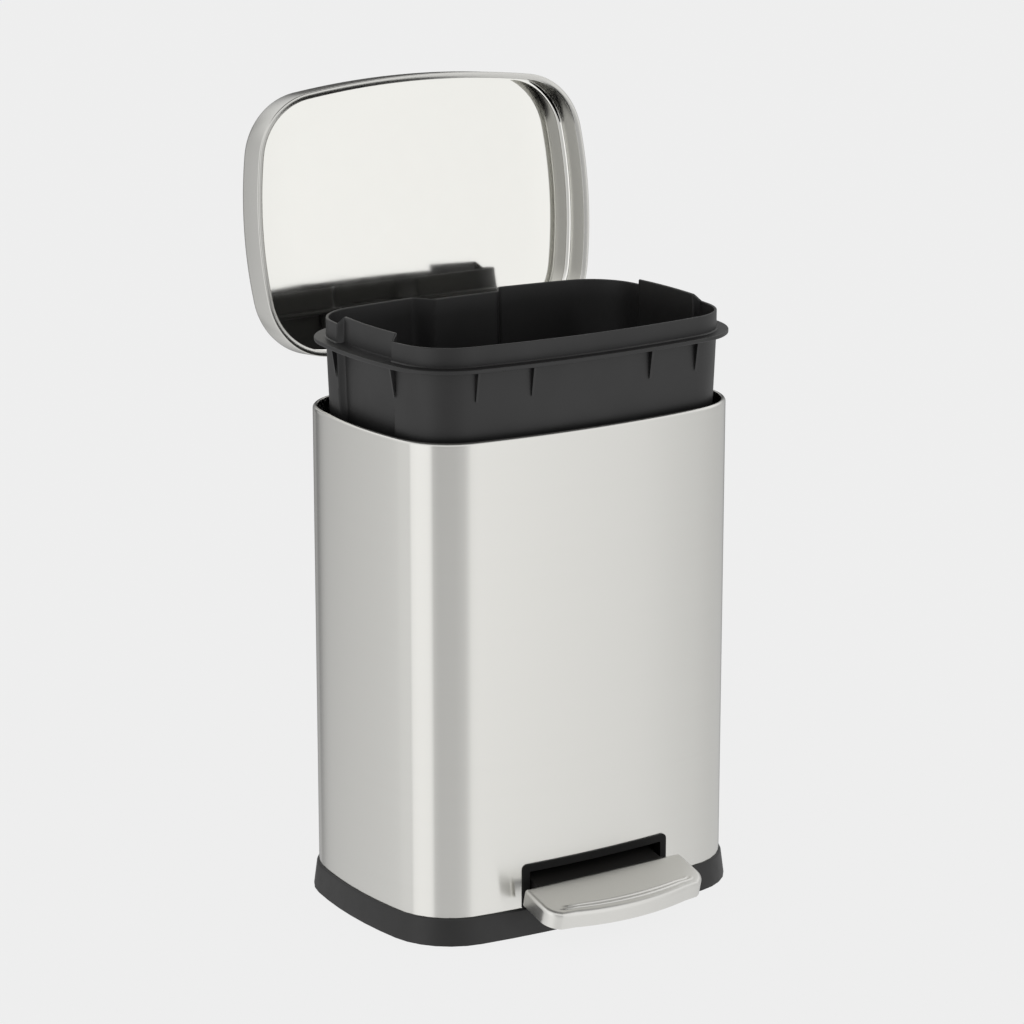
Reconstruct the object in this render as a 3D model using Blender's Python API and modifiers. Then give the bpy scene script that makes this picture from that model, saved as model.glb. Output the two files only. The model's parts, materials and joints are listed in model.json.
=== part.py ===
"""Pedal bin: a steel body on a black base, with a hinged lid, a foot pedal and a lift-out bucket.

The body's plan is a rounded rectangle whose four sides bow outwards. Whatever follows the body
takes the same plan, grown or shrunk by a stated distance. The lid, the lever, the rods and the
bucket are modelled where they are when the bin is shut, and the empties on their joints carry
them to the open bin: lid up, pedal down, bucket lifted. Sizes are in metres, +Z is up, the front
faces -Y, and the origin is on the floor under the middle of the body.
"""
import math

import bmesh
import bpy
from mathutils import Matrix, Vector
from mathutils.geometry import intersect_sphere_sphere_2d

# Body
WIDTH = 0.285
DEPTH = 0.202
BODY_TOP = 0.366
CORNER_R = 0.049
FRONT_BOW_R = 0.696
SIDE_BOW_R = 0.334
SHEET = 0.0008
RIM_R = 0.0024
RIM_IN = 0.0032
TOUCH = 0.0003          # gap between faces that rest on each other
FIT = 0.0003            # gap round a shaft, a screw or a stud

# Base
RING_H = 0.020
RING_OUT_TOP = 0.0017
RING_OUT_FOOT = 0.0042
LEDGE_Z = 0.008
TRAY_FLOOR = 0.004
UPSTAND_T = 0.0024
UPSTAND_TOP = 0.016
PAD_R = 0.010
PAD_IN = 0.045
PAD_H = 0.0020
POST_R = 0.0045
POST_X_IN = 0.0425
POST_Y_IN = 0.041

# Mechanism cover, rear channel and screws
COVER_Z = 0.057
COVER_T = 0.0025
SCREW_R = 0.0015
SCREW_HEAD_R = 0.0032
SCREW_HEAD_H = 0.0014
SCREW_LEN = 0.010
CHANNEL_HALF = 0.025
CHANNEL_T = 0.0015
CHANNEL_DROP = 0.038            # below the body's top
CHANNEL_FRONT_TOP = 0.024       # channel's outer face, in front of the rear wall, at its top
CHANNEL_FRONT_FOOT = 0.0325

# Hinge and lid
HINGE_BACK = 0.0125
HINGE_UP = 0.0055
PIN_R = 0.002
KNUCKLE_R = 0.0055
EAR_R = 0.008
EAR_IN = 0.026
EAR_T = 0.008
HOUSING_HALF = 0.036
HOUSING_DEPTH = 0.017
HOUSING_LOW = 0.034             # below the body's top
HOUSING_HIGH = 0.0145
HOUSING_SCREW_X = 0.021
HOUSING_SCREW_DROP = 0.0065     # below and above the middle of the housing's body
LID_OUT = 0.0019
LID_H = 0.027
LID_EDGE_R = 0.0063
LID_CROWN = 0.0012
LID_CROWN_RUN = 0.045           # from the lid's edge rounding in to its full height
LID_HEM = 0.0045
LID_OPEN = math.radians(95.5)
BRACKET_HALF = 0.030
BRACKET_PAD = 0.026
BRACKET_PAD_T = 0.0030
GUSSET_X = 0.020
GUSSET_T = 0.004

# Linkage
PEDAL_TURN = math.radians(14.0)
CRANK_R = 0.026
CRANK_SHUT = math.radians(-45.0)
CRANK_T = 0.003
CRANK_EYE_R = 0.0045
ROD_R = 0.002
ROD_X = -0.009
ROD_JOG = 0.012
ROD_BEND_R = 0.004
ROD_TIP_Z = 0.0060
ROD_COLLAR_R = 0.004
ROD_COLLAR_H = 0.0020
ROD_COLLAR_GAP = 0.0015
SLOT_PLAY = 0.0010
DAMPER_X = 0.013
DAMPER_BACK = 0.019             # damper's axis, in front of the rear wall
DAMPER_R = 0.0065
DAMPER_FOOT_R = 0.009
DAMPER_H = 0.072
DAMPER_ROD_R = 0.0015
DAMPER_TRAVEL = 0.037
DAMPER_COLLAR_H = 0.0020
DAMPER_COLLAR_GAP = 0.0016

# Pedal
AXLE_BACK = 0.031               # axle, behind the front wall
AXLE_Z = 0.028
AXLE_R = 0.0025
HUB_R = 0.007
LEVER_HALF = 0.054
LEVER_RIB_T = 0.006
HUB_W = 0.010
UPRIGHT_T = 0.0055
UPRIGHT_GAP = 0.002
ARM_Z = 0.009
ARM_T = 0.005
ARM_HALF = 0.019
ARM_RIB_H = 0.006
NECK_LOW = 0.038
NECK_HIGH = 0.045
TREAD_TOP = 0.048
TREAD_BACK = 0.0036             # tread's rear edge, in front of the body
TREAD_LEN = 0.045
TREAD_HALF = 0.0680
TREAD_BOW = 0.006
TREAD_CORNER = 0.016
TREAD_SKIRT = 0.0128
TREAD_EDGE_R = 0.003
STUD_X = 0.040
STUD_R = 0.002
NUT_R = 0.004
NUT_H = 0.0026
BEZEL_HALF = 0.0628
BEZEL_TOP = 0.0524
BEZEL_BORDER = 0.0055
BEZEL_LAP = 0.0033
BEZEL_R = 0.004
BEZEL_PROUD = 0.0010
BEZEL_IN = 0.006
BEZEL_SILL = 0.003

# Bucket
FLANGE_T = 0.003
FLANGE_OUT = 0.001
FLANGE_W = 0.0086
BUCKET_REAR_GAP = 0.006
BUCKET_RIM_H = 0.014
BUCKET_WALL = 0.002
BUCKET_DRAFT = math.radians(2.3)
BUCKET_FLOOR_GAP = 0.003
BUCKET_FOOT_R = 0.005
BUCKET_LIFT = 0.048
SCALLOP_HALF = 0.028
SCALLOP_RAMP = 0.009
SCALLOP_IN = 0.014
TAB_HALF = 0.034
TAB_RAMP = 0.003
TAB_IN = 0.005
TAB_UP = 0.005
FIN_OUT = 0.0036
FIN_H = 0.022
FIN_T = 0.002
FIN_X = (0.050, 0.093)
FIN_BESIDE = 0.0025             # side fins, beyond the side dents

# Derived places
FRONT = -DEPTH / 2
REAR = DEPTH / 2
PIVOT = Vector((0, REAR + HINGE_BACK, BODY_TOP + HINGE_UP))
AXLE = Vector((0, FRONT + AXLE_BACK, AXLE_Z))
FLANGE_Z = BODY_TOP + TOUCH
LID_RIM = FLANGE_Z + FLANGE_T + TOUCH
LID_TOP = LID_RIM + LID_H
COVER_TOP = COVER_Z + COVER_T
CHANNEL_TOP = BODY_TOP - CHANNEL_DROP
CRANK_OPEN = CRANK_SHUT + LID_OPEN
DAMPER_Y = REAR - DAMPER_BACK

COLLECTION = "pedal_bin"
CUTTERS = "cutters"


# ---------------------------------------------------------------- scene and materials
def clear_scene():
    """Remove every object and make the two collections."""
    for item in list(bpy.data.objects):
        bpy.data.objects.remove(item)
    for name in (COLLECTION, CUTTERS):
        bpy.context.scene.collection.children.link(bpy.data.collections.new(name))


def make_material(name, colour, roughness, metallic):
    """A Principled material of one colour."""
    material = bpy.data.materials.new(name)
    material.use_nodes = True
    shader = material.node_tree.nodes["Principled BSDF"]
    shader.inputs["Base Color"].default_value = (*colour, 1)
    shader.inputs["Roughness"].default_value = roughness
    shader.inputs["Metallic"].default_value = metallic
    return material


def add_object(name, mesh, finish, smooth_angle=35):
    """Link a mesh as a part, or as a cutter when it has no finish."""
    item = bpy.data.objects.new(name, mesh)
    mesh.shade_smooth()
    mesh.set_sharp_from_angle(angle=math.radians(smooth_angle))
    if finish is None:
        bpy.data.collections[CUTTERS].objects.link(item)
        item.hide_render = True
        item.display_type = "WIRE"
    else:
        bpy.data.collections[COLLECTION].objects.link(item)
        mesh.materials.append(make_material(name, *FINISHES[finish]))
    return item


FINISHES = {
    "steel": ((0.62, 0.61, 0.59), 0.32, 1.0),
    "zinc": ((0.55, 0.56, 0.58), 0.35, 1.0),
    "base": ((0.035, 0.035, 0.037), 0.45, 0.0),
    "bucket": ((0.045, 0.044, 0.047), 0.55, 0.0),
    "lever": ((0.020, 0.020, 0.021), 0.50, 0.0),
    "rubber": ((0.030, 0.030, 0.030), 0.85, 0.0),
}


# ---------------------------------------------------------------- outlines
def arc(centre, radius, start, end, steps):
    """Points on an arc, both ends included."""
    turns = [start + (end - start) * k / steps for k in range(steps + 1)]
    return [(centre[0] + radius * math.cos(t), centre[1] + radius * math.sin(t)) for t in turns]


def body_plan(grow=0.0, depth=DEPTH, shift=0.0, side_marks=(), end_marks=()):
    """The bowed rectangle, counter-clockwise, grown by a distance.

    Each side is an arc, and the corner arcs meet them smoothly. The marks are distances from the
    middle of a side where the outline needs a point of its own.
    """
    end_centre = Vector((0, depth / 2 - FRONT_BOW_R))
    side_centre = Vector((WIDTH / 2 - SIDE_BOW_R, 0))
    meets = intersect_sphere_sphere_2d(
        end_centre, FRONT_BOW_R - CORNER_R, side_centre, SIDE_BOW_R - CORNER_R)
    corner = max(meets, key=sum)
    side_turn = math.atan2(*(corner - side_centre).yx)
    end_turn = math.atan2(*(corner - end_centre).yx)
    side_turns = [side_turn * k / 3 for k in range(3)]
    side_turns += [math.asin(mark / SIDE_BOW_R) for mark in side_marks]
    end_turns = [end_turn + (math.pi / 2 - end_turn) * k / 4 for k in range(1, 5)]
    end_turns += [math.acos(mark / FRONT_BOW_R) for mark in end_marks]
    quarter = []
    for turn in sorted(side_turns):
        quarter += arc(side_centre, SIDE_BOW_R + grow, turn, turn, 1)[:1]
    quarter += arc(corner, CORNER_R + grow, side_turn, end_turn, 6)
    for turn in sorted(end_turns):
        quarter += arc(end_centre, FRONT_BOW_R + grow, turn, turn, 1)[:1]
    left = [(-x, y) for x, y in reversed(quarter[:-1])]
    upper = quarter + left
    lower = [(x, -y) for x, y in reversed(upper[1:-1])]
    return [(x, y + shift) for x, y in upper + lower]


def offset_plan(points, grow):
    """A convex outline moved outwards by a distance, corner by corner."""
    moved = []
    count = len(points)
    for k in range(count):
        before = Vector(points[k - 1])
        here = Vector(points[k])
        after = Vector(points[(k + 1) % count])
        normals = [Vector((d.y, -d.x)).normalized() for d in (here - before, after - here)]
        mitre = (normals[0] + normals[1]).normalized()
        moved.append(tuple(here + mitre * (grow / mitre.dot(normals[0]))))
    return moved


def tread_plan():
    """The foot plate's outline: straight at the back, bowed at the front, with round corners."""
    back = FRONT - TREAD_BACK
    side_front = back - TREAD_LEN + TREAD_BOW
    flat = TREAD_HALF - TREAD_CORNER
    bow_r = (flat ** 2 + TREAD_BOW ** 2) / (2 * TREAD_BOW)
    bow_centre = (0, back - TREAD_LEN + bow_r)
    lean = math.asin(flat / bow_r)
    front = arc(bow_centre, bow_r, -math.pi / 2 - lean * 0.92, -math.pi / 2 + lean * 0.92, 8)
    right = arc((flat, side_front + TREAD_CORNER * 0.92), TREAD_CORNER, -math.pi * 0.36, 0, 5)
    left = [(-x, y) for x, y in reversed(right)]
    corner_r = 0.003
    rear_right = arc((TREAD_HALF - corner_r, back - corner_r), corner_r, 0, math.pi / 2, 3)
    rear_left = [(-x, y) for x, y in reversed(rear_right)]
    return left + front + right + rear_right + rear_left


# ---------------------------------------------------------------- solids
def loft(name, rings, finish, ring_loop=False):
    """A closed solid through rings of equal point counts; a ring loop has no end caps."""
    bm = bmesh.new()
    loops = [[bm.verts.new(point) for point in ring] for ring in rings]
    pairs = list(zip(loops, loops[1:]))
    if ring_loop:
        pairs.append((loops[-1], loops[0]))
    for low, high in pairs:
        for k in range(len(low)):
            after = (k + 1) % len(low)
            bm.faces.new((low[k], low[after], high[after], high[k]))
    if not ring_loop:
        bm.faces.new(loops[0])
        bm.faces.new(loops[-1])
    bmesh.ops.recalc_face_normals(bm, faces=bm.faces)
    mesh = bpy.data.meshes.new(name)
    bm.to_mesh(mesh)
    bm.free()
    return add_object(name, mesh, finish)


def sweep(name, profile, finish, ring_loop=False, plan=body_plan):
    """A profile of (grow, height) pairs carried round a plan."""
    rings = [[(x, y, height) for x, y in plan(grow)] for grow, height in profile]
    return loft(name, rings, finish, ring_loop)


def box(name, low, high, finish=None, bevel=0.0):
    """A box between two corners, with optional rounded edges."""
    low, high = Vector(low), Vector(high)
    bm = bmesh.new()
    bmesh.ops.create_cube(bm, size=1.0)
    bmesh.ops.scale(bm, vec=high - low, verts=bm.verts)
    mesh = bpy.data.meshes.new(name)
    bm.to_mesh(mesh)
    bm.free()
    item = add_object(name, mesh, finish)
    item.location = (low + high) / 2
    if bevel:
        rounding = item.modifiers.new("edges", "BEVEL")
        rounding.width = bevel
        rounding.segments = 2
    return item


def cylinder(name, radius, start, end, finish=None, sides=20):
    """A cylinder between two points."""
    start, end = Vector(start), Vector(end)
    bm = bmesh.new()
    bmesh.ops.create_cone(bm, cap_ends=True, segments=sides, radius1=radius, radius2=radius,
                          depth=(end - start).length)
    mesh = bpy.data.meshes.new(name)
    bm.to_mesh(mesh)
    bm.free()
    item = add_object(name, mesh, finish)
    item.location = (start + end) / 2
    item.rotation_euler = (end - start).to_track_quat("Z", "Y").to_euler()
    return item


def plate(name, outline, axis, low, high, finish=None):
    """A flat outline given a thickness along X, Y or Z, from low to high."""
    bm = bmesh.new()
    place = {
        "X": lambda u, v, w: (w, u, v),
        "Y": lambda u, v, w: (u, w, v),
        "Z": lambda u, v, w: (u, v, w),
    }[axis]
    face = bm.faces.new([bm.verts.new(place(u, v, low)) for u, v in outline])
    grown = bmesh.ops.extrude_face_region(bm, geom=[face])["geom"]
    corners = [part for part in grown if isinstance(part, bmesh.types.BMVert)]
    bmesh.ops.translate(bm, vec=place(0, 0, high - low), verts=corners)
    bmesh.ops.recalc_face_normals(bm, faces=bm.faces)
    mesh = bpy.data.meshes.new(name)
    bm.to_mesh(mesh)
    bm.free()
    return add_object(name, mesh, finish)


def turned(name, profile, foot, axis, finish=None, steps=20, hollow=False):
    """A turned piece: (radius, height) pairs, top to bottom, spun about an axis through foot."""
    mesh = bpy.data.meshes.new(name)
    edges = [(k, k + 1) for k in range(len(profile) - 1)]
    if hollow:
        edges.append((len(profile) - 1, 0))
    mesh.from_pydata([(radius, 0, height) for radius, height in profile], edges, [])
    item = add_object(name, mesh, finish)
    item.location = foot
    item.rotation_euler = Vector(axis).to_track_quat("Z", "Y").to_euler()
    spin = item.modifiers.new("turn", "SCREW")
    spin.steps = steps
    spin.render_steps = steps
    spin.use_merge_vertices = True
    spin.merge_threshold = 0.00001
    return item


def shape(target, tool, operation):
    """Apply a Boolean with a tool that then travels with its target."""
    tool.parent = target
    tool.matrix_parent_inverse = target.matrix_basis.inverted()
    step = target.modifiers.new(operation.lower(), "BOOLEAN")
    step.operation = operation
    step.object = tool


def cut(target, *tools):
    """Take the tools' shapes out of a target."""
    for tool in tools:
        shape(target, tool, "DIFFERENCE")


def join(target, *tools):
    """Add the tools' shapes to a target."""
    for tool in tools:
        shape(target, tool, "UNION")


def screw(name, place, axis, finish="zinc"):
    """A pan-head screw: the axis points from the head's seat out of the head."""
    profile = [(0, SCREW_HEAD_H), (SCREW_HEAD_R * 0.7, SCREW_HEAD_H),
               (SCREW_HEAD_R, SCREW_HEAD_H * 0.5), (SCREW_HEAD_R, 0), (SCREW_R, 0),
               (SCREW_R, -SCREW_LEN), (0, -SCREW_LEN)]
    return turned(name, profile, place, axis, finish, steps=12)


def nut(name, stud_r, foot):
    """A small hexagon nut, standing on its foot's height."""
    profile = [(NUT_R, NUT_H), (NUT_R, 0), (stud_r + FIT / 2, 0), (stud_r + FIT / 2, NUT_H)]
    item = turned(name, profile, foot, (0, 0, 1), "zinc", steps=12, hollow=True)
    return item


def clip(name, inner, outer, thickness, foot, axis, finish="zinc"):
    """A flat retaining ring."""
    profile = [(outer, thickness), (outer, 0), (inner, 0), (inner, thickness)]
    return turned(name, profile, foot, axis, finish, steps=16, hollow=True)


def carry(empty, *items):
    """Parent pieces, modelled in the shut bin, to the empty of their joint."""
    for item in items:
        item.parent = empty
        item.matrix_parent_inverse = Matrix.Translation(-Vector(empty["shut_place"]))


def joint_empty(name, shut_place, turn=0.0, open_place=None):
    """An empty on a joint, turned about X and moved as in the open bin."""
    empty = bpy.data.objects.new(name, None)
    bpy.data.collections[COLLECTION].objects.link(empty)
    empty["shut_place"] = tuple(shut_place)
    empty.location = open_place or shut_place
    empty.rotation_euler = (turn, 0, 0)
    return empty


# ---------------------------------------------------------------- fixed body
def post_places():
    """The four cover posts, one near each corner."""
    return [(sx * (WIDTH / 2 - POST_X_IN), sy * (DEPTH / 2 - POST_Y_IN))
            for sx in (-1, 1) for sy in (-1, 1)]


def pad_places():
    """The four foot pads."""
    return [(sx * (WIDTH / 2 - PAD_IN), sy * (DEPTH / 2 - PAD_IN))
            for sx in (-1, 1) for sy in (-1, 1)]


def make_outer_shell():
    """The sheet body with its folded rim, the pedal slot, the crank notch and screw holes."""
    foot = LEDGE_Z + TOUCH
    rim_low = BODY_TOP - 2 * SHEET
    profile = [(0, foot), (0, BODY_TOP - RIM_R)]
    profile += arc((-RIM_R, BODY_TOP - RIM_R), RIM_R, 0, math.pi / 2, 3)[1:]
    profile += [(-RIM_IN, BODY_TOP), (-RIM_IN, rim_low), (-SHEET, rim_low), (-SHEET, foot)]
    shell = sweep("outer_shell", profile, "steel", ring_loop=True)
    cut(shell, plate("shell_slot", bezel_outline(BEZEL_LAP, RING_H), "Y",
                     FRONT - 0.01, FRONT + 0.02))
    notch_low = PIVOT.z + CRANK_R * math.sin(CRANK_SHUT) - CRANK_EYE_R - 0.002
    notch_half = CRANK_T / 2 + abs(ROD_X) + ROD_R
    cut(shell, box("shell_notch", (-notch_half, REAR - 0.012, notch_low),
                   (notch_half, REAR + 0.005, BODY_TOP + 0.005)))
    for k, (x, z) in enumerate(housing_screw_places()):
        cut(shell, cylinder(f"shell_hole_{k}", SCREW_R + FIT, (x, REAR - 0.01, z),
                            (x, REAR + 0.01, z), sides=12))
    return shell


def make_base_tray():
    """The moulded base: ring, groove for the body, floor, posts, axle uprights and pad pockets."""
    groove_in = -SHEET - TOUCH
    ring_edge = RING_OUT_TOP - TOUCH
    profile = [(RING_OUT_FOOT, 0), (RING_OUT_TOP, RING_H - ring_edge)]
    profile += arc((TOUCH, RING_H - ring_edge), ring_edge, 0, math.pi / 2, 3)[1:]
    profile += [(TOUCH, LEDGE_Z), (groove_in, LEDGE_Z), (groove_in, UPSTAND_TOP),
                (groove_in - UPSTAND_T, UPSTAND_TOP), (groove_in - UPSTAND_T, TRAY_FLOOR)]
    tray = sweep("base_tray", profile, "base")
    sunk = TRAY_FLOOR / 2
    for k, (x, y) in enumerate(post_places()):
        join(tray, cylinder(f"post_{k}", POST_R, (x, y, sunk), (x, y, COVER_Z - TOUCH), sides=16))
        cut(tray, cylinder(f"post_hole_{k}", SCREW_R + FIT, (x, y, COVER_Z - SCREW_LEN),
                           (x, y, COVER_Z + 0.002), sides=12))
    for side in (-1, 1):
        near = side * (LEVER_HALF + UPRIGHT_GAP)
        far = side * (LEVER_HALF + UPRIGHT_GAP + UPRIGHT_T)
        join(tray, box(f"upright_{side}", (min(near, far), AXLE.y - HUB_R, sunk),
                       (max(near, far), AXLE.y + HUB_R, AXLE_Z + HUB_R)))
    reach = LEVER_HALF + UPRIGHT_GAP + UPRIGHT_T + 0.005
    cut(tray, cylinder("axle_bore", AXLE_R + FIT, (-reach, AXLE.y, AXLE_Z), (reach, AXLE.y, AXLE_Z)))
    for k, (x, y) in enumerate(pad_places()):
        cut(tray, cylinder(f"pad_pocket_{k}", PAD_R + TOUCH, (x, y, -0.001),
                           (x, y, PAD_H + TOUCH), sides=24))
    return tray


def make_foot_pads():
    """Round rubber pads, level with the base's underside."""
    for k, (x, y) in enumerate(pad_places()):
        cylinder(f"foot_pad_{k + 1}", PAD_R, (x, y, 0), (x, y, PAD_H), "rubber", sides=24)


def make_mechanism_cover():
    """The inner floor over the lever, with ways through for the rods and the screws."""
    inside = -SHEET - 0.0012
    cover = sweep("mechanism_cover", [(inside, COVER_Z), (inside, COVER_TOP)], "base")
    low, high = COVER_Z - 0.002, COVER_TOP + 0.002
    shut, forward, lifted = foot_track()
    cut(cover, box("rod_way", (ROD_X - ROD_R - 0.002, forward - ROD_R - 0.002, low),
                   (ROD_X + ROD_R + 0.002, max(shut, lifted) + ROD_R + 0.002, high)))
    cut(cover, cylinder("damper_way", DAMPER_ROD_R + 0.001, (DAMPER_X, DAMPER_Y, low),
                        (DAMPER_X, DAMPER_Y, high), sides=12))
    for k, (x, y) in enumerate(post_places()):
        cut(cover, cylinder(f"cover_hole_{k}", SCREW_R + FIT, (x, y, low), (x, y, high), sides=12))
        screw(f"cover_screw_{k + 1}", (x, y, COVER_TOP + TOUCH), (0, 0, 1))
    return cover


def make_rear_channel():
    """The tapered cover, open to the rear wall, that keeps the rods away from the bucket."""
    foot = COVER_TOP + TOUCH
    back = REAR - SHEET - 0.0022
    outer = [(REAR - CHANNEL_FRONT_FOOT, foot), (back, foot), (back, CHANNEL_TOP),
             (REAR - CHANNEL_FRONT_TOP, CHANNEL_TOP)]
    inner = [(REAR - CHANNEL_FRONT_FOOT + CHANNEL_T, foot - 0.005), (back + 0.005, foot - 0.005),
             (back + 0.005, CHANNEL_TOP + 0.005),
             (REAR - CHANNEL_FRONT_TOP + CHANNEL_T, CHANNEL_TOP + 0.005)]
    channel = plate("rear_channel", outer, "X", -CHANNEL_HALF, CHANNEL_HALF, "base")
    cut(channel, plate("channel_hollow", inner, "X", CHANNEL_T - CHANNEL_HALF,
                       CHANNEL_HALF - CHANNEL_T))
    return channel


def bezel_outline(inset, low):
    """Outline in X and Z of the pedal's frame, or of something inset from it."""
    half = BEZEL_HALF - inset
    top = BEZEL_TOP - inset
    radius = max(BEZEL_R - inset, 0.0008)
    right = arc((half - radius, top - radius), radius, 0, math.pi / 2, 4)
    left = [(-x, z) for x, z in reversed(right)]
    return [(half, low)] + right + left + [(-half, low)]


def make_pedal_bezel():
    """The frame in the pedal slot: a thin face over the sheet and a collar through it."""
    low = RING_H + TOUCH
    span = (RING_H - 0.005, BEZEL_TOP + 0.01)
    near, far = FRONT - 0.02, FRONT + 0.03
    face = [(TOUCH, span[0]), (TOUCH + BEZEL_PROUD, span[0]), (TOUCH + BEZEL_PROUD, span[1]),
            (TOUCH, span[1])]
    bezel = sweep("pedal_bezel", face, "base", ring_loop=True)
    shape(bezel, plate("bezel_face", bezel_outline(0, low), "Y", near, far), "INTERSECT")
    wall = [(-BEZEL_IN, span[0]), (2 * TOUCH, span[0]), (2 * TOUCH, span[1]), (-BEZEL_IN, span[1])]
    collar = sweep("bezel_collar", wall, None, ring_loop=True)
    shape(collar, plate("collar_face", bezel_outline(BEZEL_LAP + TOUCH, low), "Y", near, far),
          "INTERSECT")
    join(bezel, collar)
    cut(bezel, plate("bezel_opening", bezel_outline(BEZEL_BORDER, low + BEZEL_SILL), "Y",
                     near - 0.01, far + 0.01))
    return bezel


def make_axle():
    """The pedal's shaft and its two clips."""
    reach = LEVER_HALF + UPRIGHT_GAP + UPRIGHT_T + 0.004
    cylinder("lever_axle", AXLE_R, (-reach, AXLE.y, AXLE_Z), (reach, AXLE.y, AXLE_Z), "zinc")
    seat = LEVER_HALF + UPRIGHT_GAP + UPRIGHT_T + TOUCH
    for name, side in (("axle_clip_left", -1), ("axle_clip_right", 1)):
        clip(name, AXLE_R + FIT / 2, AXLE_R + 0.0022, 0.001, (side * seat, AXLE.y, AXLE_Z),
             (side, 0, 0))


def housing_screw_places():
    """The four screws of the hinge housing, as X and Z."""
    middle = BODY_TOP - (HOUSING_LOW + HOUSING_HIGH) / 2
    return [(sx * HOUSING_SCREW_X, middle + sz * HOUSING_SCREW_DROP)
            for sx in (-1, 1) for sz in (-1, 1)]


def make_hinge_housing():
    """The hinge's seat behind the body: a block that follows the wall, and two ears."""
    low = BODY_TOP - HOUSING_LOW
    high = BODY_TOP - HOUSING_HIGH
    housing = box("hinge_housing", (-HOUSING_HALF, REAR - 0.003, low),
                  (HOUSING_HALF, REAR + HOUSING_DEPTH, high), "base", bevel=0.003)
    for side in (-1, 1):
        near, far = side * EAR_IN, side * (EAR_IN + EAR_T)
        span = (min(near, far), max(near, far))
        ear = plate(f"ear_{side}", ear_outline(low), "X", *span)
        join(housing, ear)
    cut(housing, sweep("body_space", [(TOUCH, low - 0.01), (TOUCH, high + 0.05)], None))
    reach = EAR_IN + EAR_T + 0.005
    cut(housing, cylinder("housing_bore", PIN_R + FIT, (-reach, *PIVOT.yz), (reach, *PIVOT.yz)))
    for k, (x, z) in enumerate(housing_screw_places()):
        cut(housing, cylinder(f"housing_hole_{k}", SCREW_R + FIT, (x, REAR - 0.01, z),
                              (x, REAR + SCREW_LEN, z), sides=12))
        seat = REAR - SHEET - TOUCH - bow_drop(x)
        screw(f"housing_screw_{k + 1}", (x, seat, z), (0, -1, 0))
    return housing


def bow_drop(x):
    """How far the rear wall has curved forward at a distance from the middle."""
    return FRONT_BOW_R - math.sqrt(FRONT_BOW_R ** 2 - x ** 2)


def ear_outline(low):
    """An ear in Y and Z: a post on the block, with a round top about the hinge pin."""
    centre = (PIVOT.y, PIVOT.z)
    top = arc(centre, EAR_R, -0.4, math.pi + 0.4, 10)
    return [(REAR + 0.004, low + 0.006), (REAR + HOUSING_DEPTH - 0.002, low + 0.006)] + top


def make_hinge_pin():
    """The hinge pin and its two clips."""
    reach = EAR_IN + EAR_T + 0.003
    cylinder("hinge_pin", PIN_R, (-reach, *PIVOT.yz), (reach, *PIVOT.yz), "zinc", sides=16)
    seat = EAR_IN + EAR_T + TOUCH
    for name, side in (("hinge_clip_left", -1), ("hinge_clip_right", 1)):
        clip(name, PIN_R + FIT / 2, PIN_R + 0.0020, 0.0008, (side * seat, *PIVOT.yz), (side, 0, 0))


def make_damper_cylinder():
    """The damper's body, flanged at its foot, with the bore that its rod slides in."""
    foot = COVER_TOP + TOUCH
    bore = DAMPER_ROD_R + FIT
    profile = [(0, DAMPER_H), (DAMPER_R - 0.001, DAMPER_H), (DAMPER_R, DAMPER_H - 0.001),
               (DAMPER_R, 0.003), (DAMPER_FOOT_R, 0.003), (DAMPER_FOOT_R, 0), (bore, 0),
               (bore, DAMPER_H - 0.004), (0, DAMPER_H - 0.004)]
    return turned("damper_cylinder", profile, (DAMPER_X, DAMPER_Y, foot), (0, 0, 1), "zinc")


# ---------------------------------------------------------------- lid
def make_lid(frame):
    """The stamped lid, the hinge bracket with its crank, and its nuts."""
    inner_r = LID_EDGE_R - SHEET
    shoulder = LID_TOP - LID_EDGE_R
    hem_r = 0.0010
    flat = LID_OUT - LID_EDGE_R
    profile = [(flat - LID_CROWN_RUN, LID_TOP + LID_CROWN), (flat, LID_TOP)]
    profile += arc((flat, shoulder), LID_EDGE_R, math.pi / 2, 0, 4)[1:]
    profile += [(LID_OUT, LID_RIM + hem_r), (LID_OUT - hem_r, LID_RIM),
                (LID_OUT - LID_HEM, LID_RIM), (LID_OUT - LID_HEM, LID_RIM + 1.5 * SHEET),
                (LID_OUT - SHEET, LID_RIM + 1.5 * SHEET), (LID_OUT - SHEET, shoulder)]
    profile += arc((flat, shoulder), inner_r, 0, math.pi / 2, 4)[1:]
    profile += [(flat - LID_CROWN_RUN, LID_TOP - SHEET + LID_CROWN)]
    lid = sweep("lid_shell", profile, "steel")
    notch_half = BRACKET_HALF + 0.002
    cut(lid, box("lid_notch", (-notch_half, REAR - 0.010, LID_RIM - 0.005),
                 (notch_half, REAR + 0.010, LID_TOP - LID_EDGE_R - 0.002)))
    pieces = [lid, make_bracket()]
    pad_low = bracket_pad_z()[0]
    for k, (x, y) in enumerate(bracket_nut_places()):
        rise = LID_CROWN * (REAR + flat - y) / LID_CROWN_RUN
        join(lid, cylinder(f"bracket_stud_{k}", SCREW_R, (x, y, pad_low - NUT_H - 0.0008),
                           (x, y, LID_TOP + rise - SHEET / 2), sides=12))
        pieces.append(nut(f"bracket_nut_{k + 1}", SCREW_R, (x, y, pad_low - TOUCH - NUT_H)))
    carry(frame, *pieces)


def bracket_pad_z():
    """Underside and top of the bracket's pad, just under the lid's plate."""
    top = LID_TOP - SHEET - TOUCH
    return top - BRACKET_PAD_T, top


def bracket_pad_y():
    """Front and rear edge of the bracket's pad."""
    rear = REAR - 0.0055
    return rear - BRACKET_PAD, rear


def bracket_nut_places():
    """The four studs that hold the bracket, as X and Y."""
    front, rear = bracket_pad_y()
    return [(sx * (GUSSET_X - 0.0085), y)
            for sx in (-1, 1) for y in (front + 0.006, rear - 0.008)]


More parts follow.
